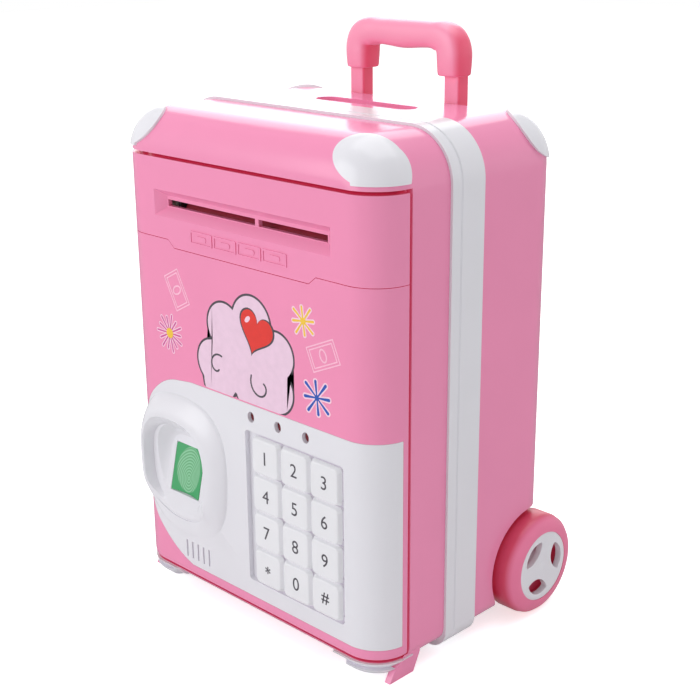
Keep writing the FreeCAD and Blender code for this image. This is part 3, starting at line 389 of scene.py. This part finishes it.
@dataclass(frozen=True)
class CellSleeve(Finish):
    """Plain printed sleeve of a battery cell.

    Attributes:
        band: sRGB hex of the band at the cell's top.
    """

    band: str = "C9A24A"

    def dress(self, tree: bpy.types.NodeTree, place: bpy.types.NodeSocket, shader: bpy.types.Node) -> None:
        """Colour the top third as a band."""
        low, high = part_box("battery_cells")
        axes = add_node(tree, "ShaderNodeSeparateXYZ", {}, {"Vector": place})
        edge = low.z + 0.68 * (high.z - low.z)
        step = add_node(tree, "ShaderNodeMapRange", {"From Min": edge, "From Max": edge + 0.2 * MM},
                        {"Value": axes.outputs["Z"]})
        mixed = add_node(tree, "ShaderNodeMix", {"A": linear(self.colour), "B": linear(self.band)},
                         {"Factor": step.outputs["Result"]}, data_type="RGBA")
        tree.links.new(mixed.outputs["Result"], shader.inputs["Base Color"])
        shader.inputs["Metallic"].default_value = 0.6


# Injection-moulded ABS, dyed through: high gloss with a very fine orange peel from the mould; crimson shade
# and a glow are painted into its gaps.
PINK_ABS = MouldedPlastic("moulded_pink_abs", Pink.CASE.value, 0.17, Pink.CASE_PAINTED_SHADE.value, 0.22, 4.5)
# Same ABS with a satin mould; coral shade is painted on its sideways faces and in its gaps, with a faint
# painted glow, in place of light that passes between the legs.
PINK_HANDLE = MouldedPlastic("moulded_coral_abs", Pink.HANDLE.value, 0.3, Pink.HANDLE_PAINTED_SHADE.value, 0.12, 6.0,
                             1.6, (0.35, 0.9))
# Moulded soft PVC, duller than the case; the shade of the wheel well is painted onto the tread and into gaps,
# with a faint painted glow.
PINK_TYRE = MouldedPlastic("moulded_pink_pvc", Pink.TYRE.value, 0.36, Pink.TYRE_PAINTED_SHADE.value, 0.12, 6.0, 1.6,
                           (0.8, 0.25))
# White ABS and key caps: a lilac-grey shade and a faint glow are painted into their gaps.
WHITE_ABS = MouldedPlastic("moulded_white_abs", "E3E2E8", 0.22, "D3CDD7", 0.2, 5.0)
WHITE_KEY = MouldedPlastic("moulded_white_keycap", "E6E6EA", 0.34, "DEDBE0", 0.4, 2.5, 1.0)
# Acetal is creamy and waxy; the frame is plain black ABS; both have a darker shade painted into their gaps.
GEAR_ACETAL = MouldedPlastic("moulded_acetal", "E4E0D2", 0.4, "B9B4A4", 0.0, 3.0, 0.7)
BLACK_FRAME = MouldedPlastic("moulded_black_abs", "26262A", 0.5, "121214", 0.0, 3.0, 0.6)
SPEAKER_PAPER = SoftRubber("speaker_paper", "1D1D20", 0.85)
FINISHES: dict[str, Finish] = {
    "pink_case": PINK_ABS, "pink_handle": PINK_HANDLE, "pink_tyre": PINK_TYRE, "white_trim": WHITE_ABS,
    "white_key": WHITE_KEY, "gear_white": GEAR_ACETAL, "black_frame": BLACK_FRAME,
    "pad_green": FingerprintPad("fingerprint_pad_green", "3BA263", 0.3),
    "lens_red": TintedLens("tinted_lens", "6E1A26", 0.15),
    "plated_steel": PlatedSteel("zinc_plate", "B9BABD", 0.3),
    # The feed rollers' crimson is painted light: it stands in for the crimson glow seen deep in the note
    # slot, where light comes through the pink shell.
    "feed_rubber": SoftRubber("feed_rubber_painted_slot_glow", "C02F4A", 0.6),
    "key_silicone": SoftRubber("key_silicone", "C9C9CC", 0.55),
    "board_green": CircuitBoard("solder_mask", "0F5A34", 0.25),
    "cell_wrap": CellSleeve("cell_sleeve", "2B3566", 0.3),
    "speaker_black": SPEAKER_PAPER,
}
# Pad-printing inks: thin satin films, a little uneven in density.
INK_DARK = Ink("ink_charcoal", "4C4750", 0.45)
INK_PALE = Ink("ink_pale_pink", "E9C9DE", 0.4)
INK_RED = Ink("ink_red", "E2342C", 0.35)
INK_YELLOW = Ink("ink_yellow", "F0C53A", 0.4)
INK_HALO = Ink("ink_halo", "F6CFE0", 0.4)
INK_MAGENTA = Ink("ink_magenta", "CF4F9A", 0.4)
INK_BLUE = Ink("ink_blue", "1F54B5", 0.4)
INK_FAINT = Ink("ink_faint_pink", "FABFD6", 0.35)


# ---------------------------------------------------------------------------- a stock of made materials
@dataclass
class PaintShop:
    """Makes each finish once and hands it out again."""

    made: dict[Finish, bpy.types.Material] = field(default_factory=dict)

    def get(self, finish: Finish) -> bpy.types.Material:
        """Return the material of a finish, made on first use."""
        if finish not in self.made:
            self.made[finish] = finish.build()
        return self.made[finish]


SHOP = PaintShop()


# ---------------------------------------------------------------------------- dressing the CAD nodes
def smooth_node(name: str, angle: float = 32.0) -> None:
    """Shade a CAD node smoothly and keep its real edges sharp.

    Args:
        name: The node.
        angle: Edges that turn more than this, in degrees, stay sharp.
    """
    node = NODES[name]
    node.data.polygons.foreach_set("use_smooth", [True] * len(node.data.polygons))
    weld = node.modifiers.new("weld", "WELD")
    weld.merge_threshold = 1e-6
    split = node.modifiers.new("edges", "EDGE_SPLIT")
    split.split_angle = math.radians(angle)


def dress(names: Iterable[str], material: bpy.types.Material) -> None:
    """Give CAD nodes a finish and smooth shading.

    Args:
        names: The nodes.
        material: The finish.
    """
    for name in names:
        node = NODES[name]
        node.data.materials.clear()
        node.data.materials.append(material)
        smooth_node(name)


# ---------------------------------------------------------------------------- studio
@dataclass
class Studio:
    """Camera, soft lights and pale floor."""

    lens_mm: float = 67.45
    eye: Vector = field(default_factory=lambda: placed(343.25, -290.21, 260.94))
    yaw: float = math.radians(44.777)
    pitch: float = math.radians(-18.456)
    roll: float = math.radians(-0.46)
    horizon: float = 0.86
    zenith: float = 0.35
    ground: float = 0.42
    backdrop: float = 1.0

    def camera(self) -> None:
        """Put the camera in front of the door's right corner."""
        data = bpy.data.cameras.new("camera")
        data.lens = self.lens_mm
        data.sensor_width = 36.0
        data.clip_start, data.clip_end = 0.01, 20
        camera = bpy.data.objects.new("camera", data)
        bpy.context.scene.collection.objects.link(camera)
        aim = Vector((-math.sin(self.yaw) * math.cos(self.pitch), math.cos(self.yaw) * math.cos(self.pitch),
                      math.sin(self.pitch)))
        turn = aim.to_track_quat("-Z", "Y").to_matrix() @ Matrix.Rotation(self.roll, 3, "Z")
        camera.matrix_world = Matrix.Translation(self.eye) @ turn.to_4x4()
        bpy.context.scene.camera = camera

    def floor(self) -> None:
        """Lay a wide pale floor under the wheels."""
        shape = bmesh.new()
        bmesh.ops.create_grid(shape, x_segments=1, y_segments=1, size=3.0)
        floor = finished("floor", shape, PaleFloor().build())
        floor.visible_glossy = False

    def lights(self) -> None:
        """Light a studio world, hang a large softbox above and one in front at the left, and stand a
        reflector card.
        """
        world = bpy.data.worlds.new("studio")
        world.use_nodes = True
        tree = world.node_tree
        place = add_node(tree, "ShaderNodeTexCoord").outputs["Generated"]
        axes = add_node(tree, "ShaderNodeSeparateXYZ", {}, {"Vector": place})
        sky = add_node(tree, "ShaderNodeMapRange", {"From Min": 0.25, "From Max": 0.8, "To Min": self.horizon,
                                                    "To Max": self.zenith}, {"Value": axes.outputs["Z"]})
        below = add_node(tree, "ShaderNodeMapRange", {"From Min": -0.2, "From Max": -0.02,
                                                      "To Min": self.ground, "To Max": 1.0},
                         {"Value": axes.outputs["Z"]})
        glow = add_node(tree, "ShaderNodeMath", {}, {0: sky.outputs["Result"], 1: below.outputs["Result"]},
                        operation="MULTIPLY")
        path = add_node(tree, "ShaderNodeLightPath")
        seen = add_node(tree, "ShaderNodeMix", {"B": self.backdrop},
                        {"Factor": path.outputs["Is Camera Ray"], "A": glow.outputs["Value"]})
        tree.links.new(seen.outputs["Result"], tree.nodes["Background"].inputs["Strength"])
        tree.nodes["Background"].inputs["Color"].default_value = (1, 1, 1, 1)
        bpy.context.scene.world = world
        self.softbox("top_softbox", (0.0, 0.15, 0.95), (0, 0, 0.1), 0.9, 5.0)
        self.softbox("front_softbox", (-0.45, -1.0, 0.45), (0, 0, 0.1), 0.8, 4.2)
        self.card()

    def card(self) -> None:
        """Stand a bright card behind the case, seen only as a reflection in its glossy top."""
        shape = bmesh.new()
        bmesh.ops.create_grid(shape, x_segments=1, y_segments=1, size=0.8)
        spot = Vector((-1.25, 1.25, 0.80))
        turn = spot.to_track_quat("Z", "Y").to_matrix().to_4x4()
        bmesh.ops.transform(shape, matrix=Matrix.Translation(spot) @ turn, verts=shape.verts)
        card = finished("reflector_card", shape, ReflectorCard().build())
        card.visible_camera = False
        card.visible_diffuse = False
        card.visible_shadow = False

    def softbox(self, name: str, spot: Sequence[float], aim: Sequence[float], size: float,
                power: float) -> None:
        """Add one square area light.

        Args:
            name: The light's name.
            spot: Where it hangs, in metres.
            aim: The point it looks at.
            size: Side of the square, in metres.
            power: Radiant power, in watts.
        """
        data = bpy.data.lights.new(name, "AREA")
        data.size = size
        data.energy = power
        light = bpy.data.objects.new(name, data)
        bpy.context.scene.collection.objects.link(light)
        turn = (Vector(aim) - Vector(spot)).to_track_quat("-Z", "Y").to_matrix().to_4x4()
        light.matrix_world = Matrix.Translation(spot) @ turn


@dataclass(frozen=True)
class PaleFloor:
    """White studio paper, lit up to pure white except under the case."""

    name: str = "studio_paper"
    lift: float = 0.62

    def build(self) -> bpy.types.Material:
        """Make the material and return it."""
        material = bpy.data.materials.new(self.name)
        material.use_nodes = True
        tree = material.node_tree
        shader = tree.nodes["Principled BSDF"]
        place = add_node(tree, "ShaderNodeTexCoord").outputs["Object"]
        fibre = add_node(tree, "ShaderNodeTexNoise", {"Scale": 1 / (0.8 * MM)}, {"Vector": place})
        tone = add_node(tree, "ShaderNodeMix", {"A": linear("F5F5F6"), "B": linear("FAFAFA")},
                        {"Factor": fibre.outputs["Fac"]}, data_type="RGBA")
        tree.links.new(tone.outputs["Result"], shader.inputs["Base Color"])
        path = add_node(tree, "ShaderNodeLightPath")
        lift = add_node(tree, "ShaderNodeMath", {1: self.lift}, {0: path.outputs["Is Camera Ray"]},
                        operation="MULTIPLY")
        tree.links.new(lift.outputs["Value"], shader.inputs["Emission Strength"])
        shader.inputs["Emission Color"].default_value = (1, 1, 1, 1)
        shader.inputs["Roughness"].default_value = 0.8
        return material


@dataclass(frozen=True)
class ReflectorCard:
    """Evenly lit white card."""

    name: str = "reflector_card"
    strength: float = 2.3

    def build(self) -> bpy.types.Material:
        """Make the material and return it."""
        material = bpy.data.materials.new(self.name)
        material.use_nodes = True
        tree = material.node_tree
        tree.nodes.clear()
        light = add_node(tree, "ShaderNodeEmission", {"Strength": self.strength})
        add_node(tree, "ShaderNodeOutputMaterial", {}, {"Surface": light.outputs["Emission"]})
        return material


def finished(name: str, shape: bmesh.types.BMesh, material: bpy.types.Material) -> bpy.types.Object:
    """Turn a bmesh into an object at the origin with one finish.

    Args:
        name: The piece's name.
        shape: The mesh, in metres, in its final place. It is freed.
        material: The finish.

    Returns:
        The linked object.
    """
    mesh = bpy.data.meshes.new(name)
    shape.to_mesh(mesh)
    shape.free()
    mesh.materials.append(material)
    piece = bpy.data.objects.new(name, mesh)
    bpy.context.scene.collection.objects.link(piece)
    return piece


# ---------------------------------------------------------------------------- key legends
@dataclass(frozen=True)
class Legend:
    """The mark printed on one key.

    Attributes:
        key: The key's name in the frame, after "key_".
        mark: The character.
        height_mm: Its height.
        weight: How far its strokes are fattened, in font units.
    """

    key: str
    mark: str
    height_mm: float = 5.1
    weight: float = 0.0

    def build(self) -> bpy.types.Object:
        """Print the mark in the middle of the key's face and return it."""
        low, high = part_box("key_" + self.key)
        curve = bpy.data.curves.new("legend", "FONT")
        curve.body = self.mark
        curve.align_x = "CENTER"
        curve.offset = self.weight
        text = bpy.data.objects.new("legend", curve)
        bpy.context.scene.collection.objects.link(text)
        bpy.context.view_layer.update()
        flat = bmesh.new()
        flat.from_mesh(text.to_mesh())
        bpy.data.objects.remove(text)
        spots = [v.co.copy() for v in flat.verts]
        left, right = min(p.x for p in spots), max(p.x for p in spots)
        base, top = min(p.y for p in spots), max(p.y for p in spots)
        size = self.height_mm * MM / (top - base)
        middle = Vector(((left + right) / 2, (base + top) / 2, 0))
        film = 0.04 * MM
        for vert in flat.verts:
            off = (vert.co - middle) * size
            vert.co = Vector(((low.x + high.x) / 2 + off.x, low.y - film, (low.z + high.z) / 2 + off.y))
        thicken(flat, 0.06 * MM)
        piece = finished("legend_" + self.key, flat, SHOP.get(INK_DARK))
        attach(piece, "button_" + self.key)
        return piece


def thicken(flat: bmesh.types.BMesh, depth: float) -> None:
    """Give flat faces that lie across Y a thickness behind them.

    Args:
        flat: Faces in one plane across Y. They become the front.
        depth: Thickness, in metres.
    """
    bmesh.ops.remove_doubles(flat, verts=flat.verts, dist=1e-7)
    faces = list(flat.faces)
    made = bmesh.ops.extrude_face_region(flat, geom=faces, use_keep_orig=True)
    for item in made["geom"]:
        if isinstance(item, bmesh.types.BMVert):
            item.co.y += depth
    bmesh.ops.recalc_face_normals(flat, faces=flat.faces)


LEGENDS = [Legend(digit, digit) for digit in "1234567890"]
LEGENDS += [Legend("star", "*", 3.1, 0.012), Legend("hash", "#", 4.6, 0.01)]


# ---------------------------------------------------------------------------- prints on the door
Outline = list[tuple[float, float]]
FILM_STEP = 0.03        # millimetres from one ink film to the next above it
OVERLAP_STEP = 0.0006   # millimetres between outlines that overlap in one film
PETAL_ROOT = 0.28       # half width of a petal at its root, in millimetres
SHORT_PETAL = 0.86      # length of every second petal against the others


@dataclass
class DoorPrint:
    """Ink films on the flat of the door, one above the other.

    Attributes:
        name: The print's name.
        layers: Pairs of a finish and the outlines that it fills, in millimetres, the lowest film first.
    """

    name: str
    layers: list[tuple[Finish, list[Outline]]]

    def build(self) -> None:
        """Lay every film and let it ride on the door."""
        for level, (finish, outlines) in enumerate(self.layers):
            shape = bmesh.new()
            for index, outline in enumerate(outlines):
                lift = FILM_STEP * (level + 1) + OVERLAP_STEP * index
                shape.faces.new([shape.verts.new(placed(x, -lift, z)) for x, z in outline])
            bmesh.ops.triangulate(shape, faces=shape.faces)
            thicken(shape, 0.05 * MM + FILM_STEP * MM * level)
            piece = finished(f"{self.name}_film_{level}", shape, SHOP.get(finish))
            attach(piece, "door")


def union_outline(circles: Sequence[tuple[float, float, float]], grow: float, floor_z: float) -> Outline:
    """Outline of overlapping discs, seen from the first one's middle.

    Args:
        circles: Middle x, middle z and radius of each disc. All of them overlap the first one.
        grow: Added to every radius.
        floor_z: The outline is cut off below this height.

    Returns:
        The outline's points.
    """
    start_x, start_z, _ = circles[0]
    points = []
    for step in range(180):
        angle = 2 * math.pi * step / 180
        along_x, along_z = math.cos(angle), math.sin(angle)
        reach = 0.0
        for x, z, radius in circles:
            ahead = (x - start_x) * along_x + (z - start_z) * along_z
            aside = (x - start_x) * along_z - (z - start_z) * along_x
            if abs(aside) < radius + grow:
                reach = max(reach, ahead + math.sqrt((radius + grow) ** 2 - aside ** 2))
        if along_z < 0:
            reach = min(reach, (floor_z - start_z) / along_z)
        points.append((start_x + reach * along_x, start_z + reach * along_z))
    return points


def oval(x: float, z: float, half_x: float, half_z: float, tilt: float = 0.0) -> Outline:
    """Ellipse outline.

    Args:
        x: Middle x.
        z: Middle z.
        half_x: Half width.
        half_z: Half height.
        tilt: Turn in degrees.

    Returns:
        The outline's points.
    """
    c, t = math.cos(math.radians(tilt)), math.sin(math.radians(tilt))
    points = []
    for step in range(40):
        angle = 2 * math.pi * step / 40
        a, b = half_x * math.cos(angle), half_z * math.sin(angle)
        points.append((x + a * c - b * t, z + a * t + b * c))
    return points


def heart(x: float, z: float, size: float, tilt: float) -> Outline:
    """Heart outline.

    Args:
        x: Middle x.
        z: Middle z.
        size: Half width.
        tilt: Turn in degrees.

    Returns:
        The outline's points.
    """
    c, t = math.cos(math.radians(tilt)), math.sin(math.radians(tilt))
    points = []
    for step in range(60):
        angle = 2 * math.pi * step / 60
        a = size * math.sin(angle) ** 3
        b = size / 16 * (13 * math.cos(angle) - 5 * math.cos(2 * angle) - 2 * math.cos(3 * angle)
                         - math.cos(4 * angle))
        points.append((x + a * c - b * t, z + a * t + b * c))
    return points


def stroke(x0: float, z0: float, x1: float, z1: float, near: float, far: float) -> Outline:
    """Round-ended stroke that widens along its length.

    Args:
        x0: Start x.
        z0: Start z.
        x1: End x.
        z1: End z.
        near: Half width at the start.
        far: Half width at the end.

    Returns:
        The outline's points.
    """
    angle = math.atan2(z1 - z0, x1 - x0)
    points = []
    for x, z, radius, start in ((x1, z1, far, -90), (x0, z0, near, 90)):
        for step in range(9):
            turn = angle + math.radians(start + step * 180 / 8)
            points.append((x + radius * math.cos(turn), z + radius * math.sin(turn)))
    return points


def burst(x: float, z: float, count: int, inner: float, outer: float, far: float, grow: float,
          first: float = 0.0) -> list[Outline]:
    """Petal strokes round a middle.

    Args:
        x: Middle x.
        z: Middle z.
        count: Number of petals.
        inner: Distance at which a petal starts.
        outer: Distance at which it ends.
        far: Half width at the outer end.
        grow: Added to every width, for a halo.
        first: Direction of the first petal, in degrees.

    Returns:
        One outline for each petal.
    """
    petals = []
    for index in range(count):
        turn = math.radians(first + 360 * index / count)
        length = outer * (1.0 if index % 2 else SHORT_PETAL)
        c, t = math.cos(turn), math.sin(turn)
        near = PETAL_ROOT + grow
        petals.append(stroke(x + inner * c, z + inner * t, x + length * c, z + length * t, near, far + grow))
    return petals


def ring_strokes(x: float, z: float, half_x: float, half_z: float, tilt: float,
                 width: float) -> list[Outline]:
    """Thin closed line round an oval, as short overlapping strokes.

    Args:
        x: Middle x.
        z: Middle z.
        half_x: Half width.
        half_z: Half height.
        tilt: Turn in degrees.
        width: Half width of the line.

    Returns:
        One outline for each stroke.
    """
    points = oval(x, z, half_x, half_z, tilt)[::2]
    return [stroke(*points[i - 1], *points[i], width, width) for i in range(len(points))]


def bill(x: float, z: float, tilt: float) -> list[Outline]:
    """Line drawing of a blank banknote.

    Args:
        x: Middle x.
        z: Middle z.
        tilt: Turn in degrees.

    Returns:
        One outline for each line.
    """
    c, t = math.cos(math.radians(tilt)), math.sin(math.radians(tilt))

    def turned(a: float, b: float) -> tuple[float, float]:
        """Point of the untilted note, turned into place."""
        return x + a * c - b * t, z + a * t + b * c
    lines = []
    for half_x, half_z in ((7.0, 4.4), (5.9, 3.3)):
        corners = [turned(a * half_x, b * half_z) for a, b in ((-1, -1), (1, -1), (1, 1), (-1, 1))]
        lines += [stroke(*corners[i - 1], *corners[i], 0.22, 0.22) for i in range(4)]
    return lines + ring_strokes(x, z, 1.5, 2.3, tilt, 0.3)


CLOUD = [(2.0, 108.0, 15.0), (-16.0, 103.5, 9.0), (-9.0, 118.5, 9.5), (6.0, 123.0, 10.5), (19.0, 114.0, 9.0),
         (18.5, 101.0, 9.0), (-13.0, 96.0, 9.0), (8.0, 98.0, 12.0)]
CLOUD_FLOOR = 92.5
CURLS = [(-13.5, 102.5, 5.0, 60.0, 300.0), (10.5, 100.5, 6.0, 150.0, 400.0)]


def curl_lines() -> list[Outline]:
    """Draw the wind curls inside the cloud and return one outline for each stroke."""
    lines = []
    for x, z, radius, first, last in CURLS:
        steps = 16
        spots = []
        for step in range(steps + 1):
            turn = math.radians(first + (last - first) * step / steps)
            reach = radius * (1 - 0.7 * step / steps)
            spots.append((x + reach * math.cos(turn), z + reach * math.sin(turn)))
        lines += [stroke(*spots[i], *spots[i + 1], 0.36, 0.36) for i in range(steps)]
    return lines


def door_prints() -> list[DoorPrint]:
    """Return every print on the door: cloud with a heart, bursts and faint banknotes."""
    return [
        DoorPrint("cloud", [
            (INK_DARK, [union_outline(CLOUD, 0.42, CLOUD_FLOOR)]),
            (INK_PALE, [union_outline(CLOUD, -0.42, CLOUD_FLOOR + 0.01)]),
            (INK_DARK, curl_lines() + [heart(8.5, 120.5, 9.4, -16.0)]),
            (INK_RED, [heart(8.5, 120.6, 8.6, -16.0)]),
            (INK_HALO, [oval(4.2, 124.3, 1.7, 0.9, 40.0)]),
        ]),
        DoorPrint("magenta_burst", [
            (INK_HALO, burst(-41.4, 109.2, 14, 1.0, 7.4, 0.42, 0.35)),
            (INK_MAGENTA, burst(-41.4, 109.2, 14, 1.5, 7.4, 0.36, 0.0)),
            (INK_YELLOW, [oval(-41.4, 109.2, 2.0, 2.0)]),
        ]),
        DoorPrint("yellow_burst", [
            (INK_HALO, burst(33.0, 129.7, 8, 0.5, 5.8, 0.55, 0.4, 8.0)),
            (INK_YELLOW, burst(33.0, 129.7, 8, 0.5, 5.8, 0.45, 0.0, 8.0) + [oval(33.0, 129.7, 1.3, 1.3)]),
        ]),
        DoorPrint("blue_burst", [
            (INK_HALO, burst(39.2, 103.5, 8, 0.8, 6.9, 0.75, 0.45, 6.0)),
            (INK_BLUE, burst(39.2, 103.5, 8, 0.8, 6.9, 0.6, 0.0, 6.0) + [oval(39.2, 103.5, 1.1, 1.1)]),
        ]),
        DoorPrint("faint_bills", [(INK_FAINT, bill(42.5, 119.4, 24.0) + bill(-35.7, 127.3, -62.0))]),
    ]


# ---------------------------------------------------------------------------- soft handle grip
@dataclass(frozen=True)
class Station:
    """One cross-section of the grip.

    Attributes:
        x: Middle of the section, sideways from the case's middle.
        z: Its height below the grip's top.
        turn: Direction of the centre line in degrees, 90 being straight up.
        half: Half thickness across the centre line, in the plane of the loop.
        deep: Half thickness from front to back.
    """

    x: float
    z: float
    turn: float
    half: float
    deep: float


@dataclass
class HandleGrip:
    """Loop grip with soft edges over the two posts."""

    power: float = 2.9
    around: int = 28
    steps: int = 5
    half_path: tuple[Station, ...] = (
        Station(-23.5, -19.2, 90.0, 4.6, 4.3), Station(-23.5, -19.2, 90.0, 5.3, 5.1),
        Station(-23.5, -18.3, 90.0, 5.7, 5.5), Station(-23.5, -13.5, 90.0, 6.0, 5.8),
        Station(-23.3, -10.5, 88.0, 6.1, 5.8), Station(-22.3, -8.0, 66.0, 6.1, 5.8),
        Station(-20.2, -6.1, 42.0, 6.0, 5.8), Station(-17.2, -5.2, 16.0, 5.5, 5.7),
        Station(-13.5, -5.0, 2.0, 4.9, 5.6), Station(-8.0, -5.1, 0.0, 5.0, 5.6),
        Station(0.0, -5.4, 0.0, 5.3, 5.6),
    )

    def path(self) -> list[Station]:
        """Every station from the left end to the right end."""
        mirrored = [Station(-p.x, p.z, -p.turn, p.half, p.deep) for p in reversed(self.half_path[:-1])]
        return list(self.half_path) + mirrored

    def between(self, stations: list[Station]) -> list[Station]:
        """Fill in stations along a smooth curve.

        Args:
            stations: The stations that the curve passes through.

        Returns:
            The given stations with others between them.
        """
        filled = []
        for index in range(len(stations) - 1):
            four = [stations[max(0, index - 1)], stations[index], stations[index + 1],
                    stations[min(len(stations) - 1, index + 2)]]
            for step in range(self.steps):
                t = step / self.steps
                filled.append(Station(*(self.eased(t, *(getattr(p, name) for p in four))
                                        for name in ("x", "z", "turn", "half", "deep"))))
        return filled + [stations[-1]]

    def eased(self, t: float, before: float, start: float, end: float, after: float) -> float:
        """Catmull-Rom value between start and end."""
        slope_0, slope_1 = (end - before) / 2, (after - start) / 2
        return ((2 * t ** 3 - 3 * t ** 2 + 1) * start + (t ** 3 - 2 * t ** 2 + t) * slope_0
                + (3 * t ** 2 - 2 * t ** 3) * end + (t ** 3 - t ** 2) * slope_1)

    def ring(self, station: Station, middle_y: float, top: float) -> list[Vector]:
        """Points round one station.

        Args:
            station: The cross-section.
            middle_y: Middle of the grip from front to back, in metres.
            top: Height of the grip's top, in metres.

        Returns:
            The points, in metres.
        """
        turn = math.radians(station.turn)
        across = Vector((-math.sin(turn), 0.0, math.cos(turn)))
        points = []
        for index in range(self.around):
            angle = 2 * math.pi * (index + 0.5) / self.around
            c, t = math.cos(angle), math.sin(angle)
            side = math.copysign(abs(c) ** (2 / self.power), c) * station.half * MM
            deep = math.copysign(abs(t) ** (2 / self.power), t) * station.deep * MM
            middle = Vector((station.x * MM, middle_y, top + station.z * MM))
            points.append(middle + across * side + Vector((0.0, deep, 0.0)))
        return points

    def build(self) -> None:
        """Skin the rings, close both ends and put the grip in place of the plain one."""
        low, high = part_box("handle_grip")
        middle_y = (low.y + high.y) / 2
        shape = bmesh.new()
        loops = []
        for station in self.between(self.path()):
            circle = bmesh.ops.create_circle(shape, segments=self.around, radius=1.0)["verts"]
            for vert, spot in zip(circle, self.ring(station, middle_y, high.z)):
                vert.co = spot
            loops.append(list({edge for vert in circle for edge in vert.link_edges}))
        for one, two in zip(loops, loops[1:]):
            bmesh.ops.bridge_loops(shape, edges=one + two)
        for end in (loops[0], loops[-1]):
            bmesh.ops.contextual_create(shape, geom=end)
        bmesh.ops.recalc_face_normals(shape, faces=shape.faces)
        grip = finished("soft_handle_grip", shape, SHOP.get(PINK_HANDLE))
        grip.data.shade_smooth()
        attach(grip, "handle")
        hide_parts("handle_grip")


def main() -> None:
    """Build the studio, dress the frame and add the pieces."""
    bpy.context.scene.view_settings.view_transform = "Standard"
    studio = Studio()
    studio.camera()
    studio.floor()
    studio.lights()
    for entry in frame["record"]["subparts"]:
        dress([entry["node"]], SHOP.get(FINISHES[entry["material_slot"]]))
    for legend in LEGENDS:
        legend.build()
    for door_print in door_prints():
        door_print.build()
    HandleGrip().build()
    LOG.info("%d finishes made", len(SHOP.made))


if __name__ == "__main__":
    main()
